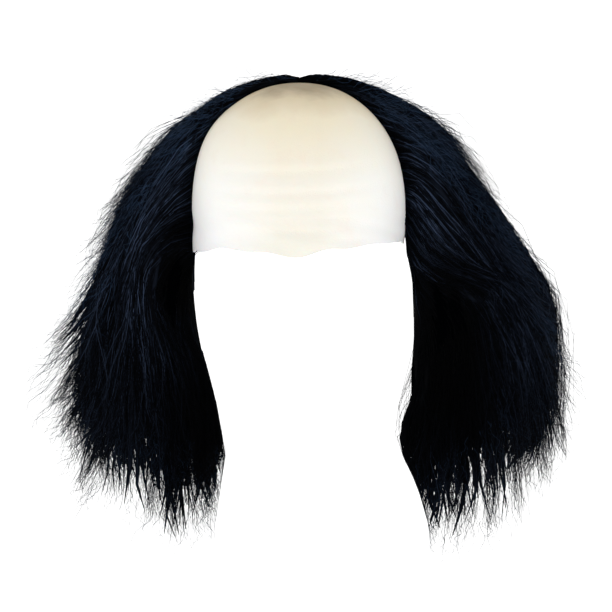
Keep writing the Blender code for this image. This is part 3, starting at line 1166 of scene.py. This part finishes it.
@dataclass(frozen=True)
class CoreFinish:
    """The dark depth of the hair: streaks that run down the mass, in colour and in height."""

    dark: tuple[float, float, float] = (0.0003, 0.0004, 0.0006)
    light: tuple[float, float, float] = (0.002, 0.003, 0.005)
    streaks_across: float = 240.0
    streaks_down: float = 7.0
    streak_from: float = 0.4
    streak_to: float = 0.75
    smooth: float = 0.5
    rough: float = 0.72
    relief: float = 0.9
    relief_height: float = 0.0015

    def make(self) -> bpy.types.Material:
        """Build the material.

        Returns:
            The material of the inner mass.
        """
        board = Board("hair_depth")
        both = board.node("ShaderNodeCombineXYZ")
        for axis, name, scale in (("X", "across", self.streaks_across),
                                  ("Y", "down", self.streaks_down)):
            board.join(board.sums("MULTIPLY", board.value(name), scale), both.inputs[axis])
        streaks = board.noise(both.outputs[0], 1.0, detail=5.0, rough=0.65)
        bright = board.spread(streaks, self.streak_from, self.streak_to, 0.0, 1.0)
        # The stored tone darkens the colour with painted shade
        tone = board.sums("MULTIPLY", bright, board.value("tone"))
        colour = board.ramp(tone, ((0.0, self.dark), (1.0, self.light)))
        board.join(colour, board.shader.inputs["Base Color"])
        rough = board.spread(streaks, NOISE_LOW, NOISE_HIGH, self.rough, self.smooth)
        board.join(rough, board.shader.inputs["Roughness"])
        board.bump(streaks, self.relief, self.relief_height)
        board.set(Specular_IOR_Level=0.0, Metallic=0.0)
        return board.material


@dataclass(frozen=True)
class Fold:
    """A forehead wrinkle. Its level, rise and sag are shares of the dome's height.

    It rises towards the +X side, sags in its middle, reaches by an angle to each side of
    the middle, and has its own strength.
    """

    level: float
    rise: float
    sag: float
    reach: float
    strength: float


@dataclass
class LatexCap:
    """The bald cap: a thin closed shell with wrinkles and a hand-trimmed edge."""

    columns: int = 204
    dome_rows: int = 62
    skirt_rows: int = 38
    first_ring: float = 0.35
    wrinkle_depth: float = 0.0006
    wrinkle_half: float = 0.0030
    wrinkle_end: float = 0.35
    ridge_share: float = 0.45
    ridge_away: float = 1.7
    uneven: float = 0.3
    uneven_turns: float = 5.0
    uneven_shift: float = 40.0
    dent_depth: float = 0.00035
    dents: Table = ((1.0, 3.0, 5.0, 0.0), (1.0, 5.0, -7.0, 1.0), (0.7, 9.0, 11.0, 2.0))
    crown_calm: float = 3.0
    trim_wave: float = 0.0004
    trim_level: float = 1.5
    trim: Table = ((1.0, 7.0, 0.0, 0.0), (1.0, 13.0, 0.0, 1.0))
    finish: LatexFinish = LatexFinish()
    folds: tuple[Fold, ...] = (
        Fold(0.66, 0.050, 0.050, 62, 0.9),
        Fold(0.83, 0.045, 0.050, 58, 1.0),
        Fold(0.96, 0.050, 0.060, 56, 0.8),
        Fold(1.14, 0.020, 0.030, 34, 0.5),
    )

    def pressed_in(self, angle: np.ndarray, height: np.ndarray) -> np.ndarray:
        """Depth of the wrinkles: a bell curve of the height away from each fold's line.

        A weaker bell curve above it stands out as the wrinkle's ridge.

        Args:
            angle: degrees round the dome.
            height: Z of the surface.

        Returns:
            How far the surface is pressed in.
        """
        across = (angle % 360.0 - 180.0) / 90.0
        total = np.zeros(np.broadcast(angle, height).shape)
        for fold in self.folds:
            off = np.abs(across) * 90.0 / fold.reach
            level = fold.level + fold.rise * across - fold.sag * off**2
            gap = (height + DOME.height * level) / self.wrinkle_half
            uneven = 1.0 - self.uneven + self.uneven * np.sin(
                self.uneven_turns * across + self.uneven_shift * fold.level)
            total += fold.strength * uneven * ease((1.0 - off) / self.wrinkle_end) * (
                np.exp(-gap**2) - self.ridge_share * np.exp(-(gap - self.ridge_away)**2))
        return self.wrinkle_depth * total

    def skin(self, outward: float) -> np.ndarray:
        """One face of the shell, crown to cut edge.

        The dome's own formula, less the wrinkles and a few slow sine waves, with small
        waves in the depth of the cut edge.

        Args:
            outward: distance from the inner face.

        Returns:
            Points of shape (rows, columns, 3).
        """
        first = self.first_ring
        dome = (np.arange(self.dome_rows) + first) / (self.dome_rows - 1 + first)
        skirt = 1.0 + np.arange(1, self.skirt_rows + 1) / self.skirt_rows
        level = np.concatenate([dome, skirt])[:, None]
        angle = (360.0 * np.arange(self.columns) / self.columns)[None]
        heading = np.radians(angle)
        base = DOME.point(angle, level, outward)
        dents = waves(self.dents, heading, level) * self.dent_depth * level / 2
        press = self.pressed_in(angle, base[..., 2]) + dents
        calm = np.minimum(level * self.crown_calm, 1.0)
        points = DOME.point(angle, level, outward - press * calm)
        low = ease((level - self.trim_level) / (2.0 - self.trim_level))
        points[..., 2] += self.trim_wave * waves(self.trim, heading, level) * low
        return points

    def build(self) -> bpy.types.Object:
        """Build and dress the shell.

        Returns:
            The latex piece.
        """
        rings = np.concatenate([self.skin(DOME.wall), self.skin(0.0)[::-1]])
        shape = closed_stack(rings)
        return add_piece("latex_cap", shape, self.finish.make(), "bald_cap")


@dataclass(frozen=True)
class Layer:
    """How one layer of strands is combed over a sheet.

    Lengths are metres, and places along a strand are shares of it. A pair is the range
    that a random number is drawn from.
    """

    clumps: int
    strands: int
    samples: int = 11
    rows: tuple[int, ...] = ()
    start: tuple[float, float] = (0.0, 0.3)
    end: tuple[float, float] = (0.75, 1.0)
    start_scatter: float = 0.03
    end_scatter: float = 0.05
    latest_start: float = 0.6
    soonest_end: float = 0.3
    rooted: float = 0.6
    spread: float = 0.45
    tip_crowding: float = 1.35
    gather: float = 0.5
    tuft: float = 0.6
    gather_from: float = 0.5
    clump_scatter: float = 0.0022
    tip_scatter: float = 0.007
    tip_single: float = 0.4
    tip_from: float = 0.6
    wave: float = 0.0022
    wave_length: float = 0.075
    wave_root: float = 0.25
    wave_power: float = 1.5
    outward_turns: float = 1.3
    outward_wave: float = 0.5
    frizz: float = 0.0009
    frizz_root: float = 0.3
    frizz_tip: float = 1.6
    bury: float = 0.002
    bury_share: float = 0.10
    lift: float = 0.001
    levels: tuple[float, float] = (-2.5, 1.0)
    radius: float = 0.00034
    thickness: tuple[float, float] = (0.7, 1.2)
    thinning: float = 0.78
    thinning_power: float = 1.6
    tone: tuple[float, float] = (0.02, 1.0)
    dark_share: float = 5.0
    clump_tone: tuple[float, float] = (0.15, 1.9)


@dataclass(frozen=True)
class LockLayer:
    """Flat lens-shaped locks under the strands, in the same units as a Layer.

    The swing is how far a lock's path swings at its root, and what that grows by.
    """

    count: int
    half_width: float
    half_height: float
    start: tuple[float, float]
    end: tuple[float, float]
    samples: int
    bends: float = 1.7
    swing: tuple[float, float] = (0.0015, 0.0040)
    levels: tuple[float, float] = (-0.0065, -0.0015)
    bury: float = 0.004
    bury_share: float = 0.12
    belly_from: float = 0.06
    belly_span: float = 0.93
    thinning: float = 0.55
    widths: tuple[float, float] = (0.6, 1.2)
    tone: tuple[float, float] = (0.02, 0.35)


@dataclass(frozen=True)
class LooseLayer:
    """Loose curly hairs that leave the outline, in the same units as a Layer."""

    count: int
    labels: tuple[float, float]
    start: tuple[float, float]
    length: tuple[float, float]
    lift: tuple[float, float]
    samples: int = 11
    probe: float = 0.03
    lean: float = 0.28
    lift_power: float = 1.4
    lean_power: float = 1.5
    turns: tuple[float, float] = (0.9, 3.0)
    curl: tuple[float, float] = (0.0008, 0.0045)
    curl_root: float = 0.2
    bury: float = 0.002
    radius: float = 0.00020
    thickness: tuple[float, float] = (0.6, 1.2)
    thinning: float = 0.7
    tone: tuple[float, float] = (0.4, 1.0)
    # Painted shade on loose hair towards the tips
    low_shade: float = 0.65


@dataclass(frozen=True)
class Shading:
    """Painted shade and highlights on the hair, as factors on its own tone: painted shadow
    in the hollow, near the inner edge, beside the dome, towards the tips and where hair
    turns away from the front, and painted highlights round the hollow's rim and at the
    lighter spots. Places and fades are metres.
    """

    front_y: float = 0.045
    front_fade: float = 0.03
    inner_x: float = 0.125
    inner_fade: float = 0.045
    inner_shade: float = 0.8
    low_z: float = -0.12
    low_fade: float = 0.13
    low_shade: float = 0.6
    rim_highlight: float = 0.7
    dome_fade: float = 0.010
    dome_shadow: float = 0.25
    dome_gain: float = 0.75
    turned_shade: float = 0.45
    turned_gain: float = 0.55
    turned_slope: float = 0.6

    def low(self, points: np.ndarray) -> np.ndarray:
        """How far down points are: 0 beside the dome, eased to 1 towards the tips."""
        return ease((self.low_z - points[..., 2]) / self.low_fade)

    def light(self, mass: HairMass, points: np.ndarray,
              outward: np.ndarray | None = None) -> np.ndarray:
        """How light hair is painted at a place: its painted shade and highlights.

        Args:
            mass: the hair mass.
            points: the places.
            outward: directions there, if hair that turns away from the front gets painted shade.

        Returns:
            A factor for the tone: painted shadow in the hollow, near the inner edge, beside the
            dome and near the tips, painted shade or highlights from the mass's spots, and a
            painted highlight round the hollow's rim.
        """
        seen = VIEW.seen(points)
        front = ease((self.front_y - points[..., 1]) / self.front_fade)
        hollow = mass.hollow.strength(seen) * front
        inner = ease((self.inner_x - np.abs(points[..., 0])) / self.inner_fade)
        low = self.low(points)
        # Painted shadow in the hollow, near the inner edge and towards the tips
        light = (1.0 - hollow) * (1.0 - self.inner_shade * inner * low)
        light = light * (1.0 - self.low_shade * low)
        # Painted highlight round the hollow's rim
        light = light * (1.0 + self.rim_highlight * mass.hollow.ring(seen) * front)
        # Painted shadow on the hair beside the dome's outline
        power = DOME.side_roundness
        height = np.clip(1.0 + seen[..., 1] / DOME.height, 0.0, 1.0)
        beside = DOME.width / 2 * (1.0 - height**power)**(1.0 / power)
        away = ease((np.abs(seen[..., 0]) - beside) / self.dome_fade)
        light = light * mix(1.0, self.dome_shadow + self.dome_gain * away, front)
        # Painted shade and highlights of the spots
        for spot in mass.spots:
            light = light * mix(1.0, spot.factor(seen), front)
        if outward is None:
            return light
        # Painted shade where hair turns away from the front
        turned = ease(-outward[..., 1] / self.turned_slope + 1.0 - front)
        return light * (self.turned_shade + self.turned_gain * turned)


SHADING = Shading()


class Comb:
    """Combs strands, locks and loose hairs over a sheet, from one stream of random numbers."""

    trim_samples: int = 40
    trim_depth: float = 0.012
    trim_back: int = 2

    def __init__(self, sheet: Sheet, seed: int) -> None:
        """Keep the sheet and start the random stream.

        Args:
            sheet: what is combed.
            seed: the stream's seed.
        """
        self.sheet = sheet
        self.mass = sheet.mass
        self.random = np.random.default_rng(seed)

    def trimmed(self, label: np.ndarray, start: np.ndarray, end: np.ndarray) -> np.ndarray:
        """The ends of strands, drawn back to where they would first cross the opening.

        Args:
            label: place among the sheet's strands, shape (strands,).
            start: shares at which they start.
            end: shares at which they should end.

        Returns:
            Ends of the same shape.
        """
        share = np.linspace(0.0, 1.0, self.trim_samples)
        path, _ = self.sheet.read(label, mix(start[:, None], end[:, None], share[None]))
        across = np.abs(self.mass.keep_open(path)[..., 0]) - np.abs(path[..., 0])
        crosses = across > self.trim_depth
        first = np.where(crosses.any(1), crosses.argmax(1), len(share))
        return mix(start, end, share[np.maximum(first - self.trim_back, 1)])

    def waved(self, layer: Layer, path: np.ndarray, outward: np.ndarray,
              share: np.ndarray) -> np.ndarray:
        """Add two slow sine waves and a random frizz that grow along the strands.

        Args:
            layer: how the layer is combed.
            path: shape (strands, samples, 3).
            outward: directions there, in the same shape.
            share: shares along the strands, shape (samples,).

        Returns:
            The waved paths.
        """
        draw = self.random
        _, sideways = headings(path, outward)
        length = np.linalg.norm(np.diff(path, axis=1), axis=-1).sum(1)[:, None]
        phase = draw.uniform(0.0, TURN, (len(path), 2, 1))
        swing = TURN * share[None] * length / layer.wave_length
        grow = layer.wave * (layer.wave_root + share[None]**layer.wave_power)
        across = np.sin(swing + phase[:, 0]) * grow
        path = path + across[..., None] * sideways
        rise = np.sin(swing * layer.outward_turns + phase[:, 1]) * grow * layer.outward_wave
        path = path + rise[..., None] * outward
        rough = layer.frizz * (layer.frizz_root + layer.frizz_tip * share**2)[None, :, None]
        return path + draw.normal(0.0, 1.0, path.shape) * rough

    def strands(self, layer: Layer) -> Shape:
        """Strands in clumps that gather towards their tips.

        A strand's path is its sheet line, drawn by a smooth step towards the nearest line
        of the table and towards its clump's line. Its tip is scattered, it is waved, and
        it starts buried.

        Args:
            layer: how the layer is combed.

        Returns:
            Three-cornered closed tubes.
        """
        draw = self.random
        count = layer.clumps * layer.strands
        top = self.sheet.last_label
        clump_label = draw.uniform(0.0, top, layer.clumps)
        if layer.rows:
            clump_label = np.resize(np.array(layer.rows, float), layer.clumps)
        clump_start = draw.uniform(*layer.start, layer.clumps)
        clump_start *= draw.random(layer.clumps) > layer.rooted
        clump_end = draw.uniform(*layer.end, layer.clumps)
        owner = np.repeat(np.arange(layer.clumps), layer.strands)
        label = np.abs(clump_label[owner] + draw.normal(0.0, layer.spread, count))
        label = top - np.abs(top - label)
        share = 1.0 - (1.0 - np.linspace(0.0, 1.0, layer.samples))**layer.tip_crowding
        start = clump_start[owner] + draw.normal(0.0, layer.start_scatter, count)
        start = np.clip(start, 0.0, layer.latest_start)
        end = clump_end[owner] + draw.normal(0.0, layer.end_scatter, count)
        end = self.trimmed(label, start, np.clip(end, layer.soonest_end, 1.0))
        at = mix(start[:, None], end[:, None], share[None])
        path, outward = self.sheet.read(label, at)
        shared = mix(clump_start[owner][:, None],
                     np.minimum(clump_end[owner], end)[:, None], share[None])
        middle, _ = self.sheet.read(clump_label[owner], shared)
        tufted, _ = self.sheet.read(np.round(label), at)
        gathering = late(share, layer.gather_from)[None, :, None]
        path = mix(path, tufted, layer.tuft * gathering)
        scatter = draw.normal(0.0, layer.clump_scatter, (count, 1, 3))
        path = mix(path, middle + scatter, layer.gather * gathering)
        tip = draw.normal(0.0, layer.tip_scatter, (layer.clumps, 1, 3))[owner]
        tip = tip + draw.normal(0.0, layer.tip_scatter * layer.tip_single, (count, 1, 3))
        path = path + tip * late(share, layer.tip_from)[None, :, None]
        path = self.waved(layer, path, outward, share)
        sunk = layer.bury * (1.0 - ease(share / layer.bury_share))[None]
        level = draw.uniform(*layer.levels, (count, 1)) * layer.lift
        path = path + outward * (level - sunk)[..., None]
        path = held_near(self.mass.keep_open(self.mass.sink(path, outward)))
        thick = layer.radius * draw.uniform(*layer.thickness, (count, 1))
        radius = thick * (1.0 - layer.thinning * share[None]**layer.thinning_power)
        shape = sweep(path, outward, radius, radius, STRAND_CORNERS)
        tone = mix(*layer.tone, draw.random((count, 1))**layer.dark_share)
        tone = tone * draw.uniform(*layer.clump_tone, (layer.clumps, 1))[owner]
        # Painted shade and highlights from the shading darken or lighten each strand's tone
        tone = tone * SHADING.light(self.mass, path, outward)
        return self.valued(shape, tone, share, STRAND_CORNERS)

    def locks(self, layer: LockLayer) -> Shape:
        """Flat lens-shaped locks under the strands, thin at both ends.

        A lock's half width is the square root of a half sine wave along it, less a share of
        the cube of the way to its tip, and its path swings sideways as a sine wave.

        Args:
            layer: how the locks are combed.

        Returns:
            Six-cornered closed tubes.
        """
        draw = self.random
        count = layer.count
        label = (np.arange(count) + draw.uniform(0.0, 1.0, count)) / count * self.sheet.last_label
        share = np.linspace(0.0, 1.0, layer.samples)
        start = draw.uniform(*layer.start, (count, 1))
        end = draw.uniform(*layer.end, (count, 1))
        end = self.trimmed(label, start[:, 0], end[:, 0])[:, None]
        path, outward = self.sheet.read(label, mix(start, end, share[None]))
        _, sideways = headings(path, outward)
        phase = draw.uniform(0.0, TURN, (count, 1))
        root, growth = layer.swing
        swing = np.sin(TURN * layer.bends * share[None] + phase) * (root + growth * share**2)
        path = path + swing[..., None] * sideways
        level = draw.uniform(*layer.levels, (count, 1))
        sunk = layer.bury * (1.0 - ease(share / layer.bury_share))[None]
        path = path + outward * (level - sunk)[..., None]
        path = self.mass.keep_open(self.mass.sink(path, outward))
        round_share = np.clip(share * layer.belly_span + layer.belly_from, 0, 1)
        belly = np.sqrt(np.sin(math.pi * round_share))[None]
        belly = belly * (1.0 - layer.thinning * share[None]**3)
        width = draw.uniform(*layer.widths, (count, 1)) * layer.half_width * belly
        shape = sweep(path, outward, width, layer.half_height * belly, LOCK_CORNERS)
        shape.points = self.mass.keep_open(shape.points)
        # The locks' tone takes the same painted shade and highlights
        tone = draw.uniform(*layer.tone, (count, 1)) * SHADING.light(self.mass, path, outward)
        return self.valued(shape, tone, share, LOCK_CORNERS)

    def loose(self, layer: LooseLayer) -> Shape:
        """Loose curly hairs that leave the outline.

        Each starts on the sheet and goes on by its length along the combing. It is bent
        outwards by its lift times a power of the share, leans sideways by another, and
        curls as a sine wave sideways and a cosine wave outwards.

        Args:
            layer: how the hairs stand.

        Returns:
            Three-cornered closed tubes.
        """
        draw = self.random
        each = (layer.count, 1, 1)
        label = draw.uniform(*layer.labels, layer.count) * self.sheet.last_label
        start = draw.uniform(*layer.start, layer.count)
        after = np.minimum(start + layer.probe, 1.0)
        root, outward = self.sheet.read(label, np.stack([after - layer.probe, after], -1))
        ahead = unit(root[:, 1] - root[:, 0])[:, None]
        away = outward[:, :1]
        sideways = unit(np.cross(away, ahead))
        share = np.linspace(0.0, 1.0, layer.samples)[None, :, None]
        size = draw.uniform(*layer.length, each)
        stand = draw.uniform(*layer.lift, each)
        lean = draw.normal(0.0, layer.lean, each)
        path = root[:, :1] + ahead * size * share + away * stand * share**layer.lift_power
        path = path + sideways * size * lean * share**layer.lean_power
        turns = draw.uniform(*layer.turns, each)
        phase = draw.uniform(0.0, TURN, (layer.count, 2, 1, 1))
        curl = draw.uniform(*layer.curl, each) * (layer.curl_root + share)
        path = path + sideways * curl * np.sin(TURN * turns * share + phase[:, 0])
        path = path + away * curl * np.cos(TURN * turns * share + phase[:, 1])
        path = path - away * layer.bury * (1.0 - share)
        path = held_near(self.mass.keep_open(path))
        thick = layer.radius * draw.uniform(*layer.thickness, (layer.count, 1))
        thick = thick * (1.0 - layer.thinning * share[..., 0])
        shape = sweep(path, np.broadcast_to(away, path.shape), thick, thick, STRAND_CORNERS)
        tone = draw.uniform(*layer.tone, (layer.count, 1))
        # Painted shade: loose hair darkens towards the tips
        tone = tone * (1.0 - layer.low_shade * SHADING.low(path))
        return self.valued(shape, tone, share[0, :, 0], STRAND_CORNERS)

    @staticmethod
    def valued(shape: Shape, tone: np.ndarray, share: np.ndarray, corners: int) -> Shape:
        """Store each strand's tone, with its painted shade and highlights, and the share along it on
        its points.

        Args:
            shape: the swept strands.
            tone: their tones, shape (strands, samples).
            share: shares along them, shape (samples,).
            corners: corners of their section.

        Returns:
            The shape itself, with its values.
        """
        full = np.broadcast_to(tone, (len(tone), len(share)))
        shape.values["tone"] = np.repeat(full.reshape(-1), corners)
        shape.values["along"] = np.repeat(np.tile(share, len(tone)), corners)
        return shape


def held_near(points: np.ndarray) -> np.ndarray:
    """Draw in what lies past a margin round the solids' box.

    Args:
        points: shape (..., 3).

    Returns:
        The points. What lay past the margin keeps a seventh of its way past it.
    """
    margin = np.array([[-LOOSE_MARGIN], [LOOSE_MARGIN]])
    low, high = np.array(CAD_BOX) + margin
    held = np.clip(points, low, high)
    return held + (points - held) / LOOSE_PULL


def joined(shapes: Sequence[Shape]) -> Shape:
    """Put several shapes into one, with their face numbers moved on.

    Args:
        shapes: shapes that hold the same values.

    Returns:
        The one shape.
    """
    faces, first = [], 0
    for shape in shapes:
        faces.extend(block + first for block in shape.faces)
        first += len(shape.points)
    keys = shapes[0].values.keys()
    values = {key: np.concatenate([shape.values[key] for shape in shapes]) for key in keys}
    return Shape(np.concatenate([shape.points for shape in shapes]), faces, values)


@dataclass(frozen=True)
class HairCore:
    """The dark depth of a mass of hair, inside the locks."""

    mass: HairMass
    depth: float = 0.80
    rows: int = 92
    outer_steps: int = 80
    inner_steps: int = 26
    short: float = 0.9
    front_edge: float = 0.12
    rim: float = 0.12
    rim_depth: float = 0.35
    inner_depth: float = 0.02
    ragged: Table = ((0.5, 37.0, 0.0, 0.0), (0.5, 61.0, 0.0, 2.0))
    ragged_rows: float = 4.0
    relief: float = 0.0022
    relief_rows: float = 3.0
    ridges: Table = ((1.0, 46.0, 1.4, 0.0), (1.0, 83.0, -0.9, 1.0), (0.6, 131.0, 0.5, 0.0))
    sink: float = 0.5
    closing_rows: float = 4.0
    closing: float = 0.97
    end_value: float = 0.5

    def shape(self) -> Shape:
        """Work out the core.

        Rings of the mass's own surface at a smaller depth, with slow combed ridges as sine
        waves across, rounded in at the lower end by a quarter circle.

        Returns:
            A closed shape.
        """
        last = self.mass.last_row - self.short
        row = np.linspace(0.0, last, self.rows)[:, None]
        outer = np.linspace(self.front_edge, 1.0, self.outer_steps)
        inner = np.linspace(1.0, self.front_edge, self.inner_steps + 2)[1:-1]
        across = np.concatenate([outer, inner])[None]
        rim = ease(np.minimum(outer - outer[0], outer[-1] - outer) / self.rim)
        depth = self.depth * mix(self.rim_depth, 1.0, rim)
        depth = np.concatenate([depth, np.full(len(inner), self.inner_depth)])[None]
        rim = np.concatenate([rim, np.zeros(len(inner))])[None]
        near_end = ease((row - last + self.ragged_rows) / self.ragged_rows)
        rings = self.mass.place(row + waves(self.ragged, across, row) * near_end, across, depth)
        heading = unit(rings - rings.mean(1, keepdims=True))
        push = self.relief * waves(self.ridges, across, row) * rim * ease(row / self.relief_rows)
        rings = rings + heading * push[..., None]
        rings = mix(rings, self.mass.sink(rings, heading), self.sink)
        closing = np.clip((row - last) / self.closing_rows + 1.0, 0.0, 1.0)
        keep = np.sqrt(np.maximum(1.0 - (closing * self.closing)**2, 0.0))[..., None]
        rings = self.mass.keep_open(mix(rings.mean(1, keepdims=True), rings, keep))
        shape = closed_stack(rings)
        ends = np.full(2, self.end_value)
        # The core's tone is the painted shade and highlights of the shading, with no tone of its own
        for name, values, poles in (("tone", SHADING.light(self.mass, rings), ends),
                                    ("across", across, ends), ("down", row, [0.0, last])):
            full = np.broadcast_to(values, rings.shape[:2])
            shape.values[name] = np.concatenate([full.reshape(-1), poles])
        return shape


@dataclass(frozen=True)
class HairAssembly:
    """Everything that one side's hair is made of: its dark depth, locks, strands and fuzz."""

    mass: HairMass
    combing: Combing
    seed: int
    tuft_rows: tuple[int, ...]
    clumps_per_tuft: int = 4
    front_locks: tuple[LockLayer, ...] = (
        LockLayer(110, 0.0055, 0.0016, start=(0.0, 0.3), end=(0.74, 0.97), samples=15),
        LockLayer(280, 0.0028, 0.0012, start=(0.40, 0.72), end=(0.86, 1.0), samples=8),
    )
    back_locks: LockLayer = LockLayer(130, 0.0066, 0.0018, start=(0.0, 0.3), end=(0.84, 1.0),
                                      samples=14)
    front_layers: tuple[Layer, ...] = (
        Layer(clumps=132, strands=15, samples=11, end=(0.82, 1.0)),
        Layer(clumps=94, strands=11, samples=8, start=(0.50, 0.76), end=(0.88, 1.0), rooted=0.0,
              wave=0.0034, frizz=0.0008, wave_length=0.040, tip_scatter=0.008, gather=0.85,
              tuft=0.8),
    )
    back_layer: Layer = Layer(clumps=116, strands=15, samples=10, end=(0.85, 1.0))
    front_loose: tuple[LooseLayer, ...] = (
        LooseLayer(460, labels=(0.0, 0.35), start=(0.05, 1.0), length=(0.018, 0.050),
                   lift=(0.001, 0.009)),
        LooseLayer(480, labels=(0.15, 1.0), start=(0.82, 0.97), length=(0.012, 0.036),
                   lift=(-0.004, 0.009)),
    )
    back_loose: LooseLayer = LooseLayer(260, labels=(0.0, 1.0), start=(0.1, 1.0),
                                        length=(0.015, 0.040), lift=(0.002, 0.012))

    def tufts(self) -> Layer:
        """The layer of tufts that hang from the combing's chosen rows."""
        return Layer(clumps=self.clumps_per_tuft * len(self.tuft_rows), strands=14, samples=9,
                     rows=self.tuft_rows, start=(0.45, 0.70), end=(0.96, 1.0), rooted=0.0,
                     spread=0.35, gather=0.92, tip_scatter=0.0025, wave=0.0026, frizz=0.0006)

    def build(self, strand: bpy.types.Material, fuzz: bpy.types.Material,
              depth: bpy.types.Material) -> None:
        """Build and dress every piece of this side.

        Args:
            strand: finish of strands and locks.
            fuzz: finish of the loose hairs.
            depth: finish of the dark depth.
        """
        front = Comb(Sheet.on_front(self.mass, self.combing), self.seed + 1)
        back = Comb(Sheet.on_back(self.mass, BACK_COMBING), self.seed + 2)
        locks = [front.locks(layer) for layer in self.front_locks]
        locks.append(back.locks(self.back_locks))
        strands = [front.strands(layer) for layer in (*self.front_layers, self.tufts())]
        back_strands = back.strands(self.back_layer)
        loose = [front.loose(layer) for layer in self.front_loose]
        loose.append(back.loose(self.back_loose))
        node = self.mass.name
        for part, shape, finish in (("depth", HairCore(self.mass).shape(), depth),
                                    ("locks", joined(locks), strand),
                                    ("front", joined(strands), strand),
                                    ("back", back_strands, strand),
                                    ("loose", joined(loose), fuzz)):
            add_piece(f"{node}_{part}", shape, finish, node)


@dataclass(frozen=True)
class Lamp:
    """A square soft light that faces the object: its place, its side and its watts."""

    name: str
    place: tuple[float, float, float]
    size: float
    power: float

    def build(self) -> None:
        """Put the light into the scene."""
        lamp = bpy.data.lights.new(self.name, "AREA")
        lamp.shape = "SQUARE"
        lamp.size = self.size
        lamp.energy = self.power
        holder = bpy.data.objects.new(self.name, lamp)
        holder.location = self.place
        ahead = Vector(VIEW.aim) - Vector(self.place)
        holder.rotation_euler = ahead.to_track_quat("-Z", "Y").to_euler()
        bpy.context.scene.collection.objects.link(holder)


@dataclass(frozen=True)
class Studio:
    """A plain pale floor far below, soft lights and the camera."""

    floor_height: float = -1.2
    floor_half: float = 300.0
    floor_glow: float = 0.62
    floor_shade: float = 0.92
    floor_roughness: float = 0.9
    floor_shine: float = 0.1
    world: float = 0.66
    far_clip: float = 1000.0
    lamps: tuple[Lamp, ...] = (Lamp("key", (-1.6, -3.2, 1.9), 1.6, 31.0),
                               Lamp("fill", (2.2, -3.0, 0.6), 2.0, 15.0))

    def floor(self) -> None:
        """A plain flat floor with a faint glow, not part of the object."""
        mesh = bpy.data.meshes.new("floor")
        half, low = self.floor_half, self.floor_height
        mesh.from_pydata([(-half, -half, low), (half, -half, low), (half, half, low),
                          (-half, half, low)], [], [(0, 1, 2, 3)])
        board = Board("pale_floor")
        shade = self.floor_shade
        board.set(Base_Color=(shade, shade, shade, 1.0), Roughness=self.floor_roughness,
                  Emission_Color=(1.0, 1.0, 1.0, 1.0), Emission_Strength=self.floor_glow,
                  Specular_IOR_Level=self.floor_shine)
        mesh.materials.append(board.material)
        floor = bpy.data.objects.new("floor", mesh)
        bpy.context.scene.collection.objects.link(floor)

    def camera(self) -> None:
        """The camera, ahead of the wig and a little above it."""
        lens = bpy.data.cameras.new("camera")
        lens.lens = VIEW.focal
        lens.sensor_width = VIEW.sensor
        lens.clip_end = self.far_clip
        holder = bpy.data.objects.new("camera", lens)
        eye, ahead, _ = VIEW.axes()
        holder.location = eye
        holder.rotation_euler = Vector(ahead).to_track_quat("-Z", "Y").to_euler()
        bpy.context.scene.collection.objects.link(holder)
        bpy.context.scene.camera = holder

    def build(self) -> None:
        """Set up the world, the floor, the lights and the camera."""
        scene = bpy.context.scene
        scene.view_settings.view_transform = "Standard"
        world = bpy.data.worlds.new("studio")
        world.use_nodes = True
        back = world.node_tree.nodes["Background"]
        back.inputs["Color"].default_value = (1.0, 1.0, 1.0, 1.0)
        back.inputs["Strength"].default_value = self.world
        scene.world = world
        self.floor()
        for lamp in self.lamps:
            lamp.build()
        self.camera()


# Painted shade (gain below 1) and painted highlights (gain above 1) on the front of the
# hair, as seen from ahead: place across, height, half sizes and gain
LEFT_SHADING_SPOTS = (ShadingSpot(-0.040, 0.004, 0.055, 0.016, 0.1), ShadingSpot(-0.058, -0.014, 0.022, 0.018, 0.25),
              ShadingSpot(-0.092, -0.050, 0.016, 0.022, 1.6), ShadingSpot(-0.108, -0.086, 0.020, 0.024, 1.25),
              ShadingSpot(-0.090, -0.103, 0.010, 0.013, 0.3), ShadingSpot(-0.122, -0.150, 0.012, 0.030, 0.6))
RIGHT_SHADING_SPOTS = (ShadingSpot(0.040, 0.000, 0.055, 0.019, 0.12), ShadingSpot(0.092, -0.044, 0.018, 0.022, 0.9),
               ShadingSpot(0.132, -0.096, 0.022, 0.024, 0.15), ShadingSpot(0.104, -0.085, 0.014, 0.018, 0.55),
               ShadingSpot(0.145, -0.255, 0.034, 0.036, 0.3), ShadingSpot(0.100, -0.122, 0.010, 0.016, 1.3),
               ShadingSpot(0.120, -0.135, 0.030, 0.016, 0.75))
LEFT = HairMass(Side.LEFT, LEFT_SECTIONS, LEFT_OPENING,
                Hollow(-0.090, -0.148, 0.021, 0.043, depth=0.013), LEFT_SHADING_SPOTS,
                bulk=0.1100, fall=0.1850, neck_half=0.0800)
RIGHT = HairMass(Side.RIGHT, RIGHT_SECTIONS, RIGHT_OPENING,
                 Hollow(0.108, -0.197, 0.041, 0.070, depth=0.014), RIGHT_SHADING_SPOTS,
                 bulk=0.1200, fall=0.1790, neck_half=0.0840)


def main() -> None:
    """Build the studio, the cap and both sides of the hair, in that order."""
    logging.basicConfig(level=logging.INFO, format="%(message)s")
    Studio().build()
    LatexCap().build()
    strand = HairFinish().make()
    fuzz = HairFinish("blue_black_fuzz", dark=(0.005, 0.010, 0.018), light=(0.026, 0.052, 0.105),
                      shine=0.06, roughness=0.4).make()
    depth = CoreFinish().make()
    for side in (HairAssembly(LEFT, LEFT_COMBING, seed=11, tuft_rows=(3, 4, 5, 6, 8, 9)),
                 HairAssembly(RIGHT, RIGHT_COMBING, seed=47, tuft_rows=(6, 7, 8, 9, 10, 11))):
        side.build(strand, fuzz, depth)


if __name__ == "__main__":
    main()
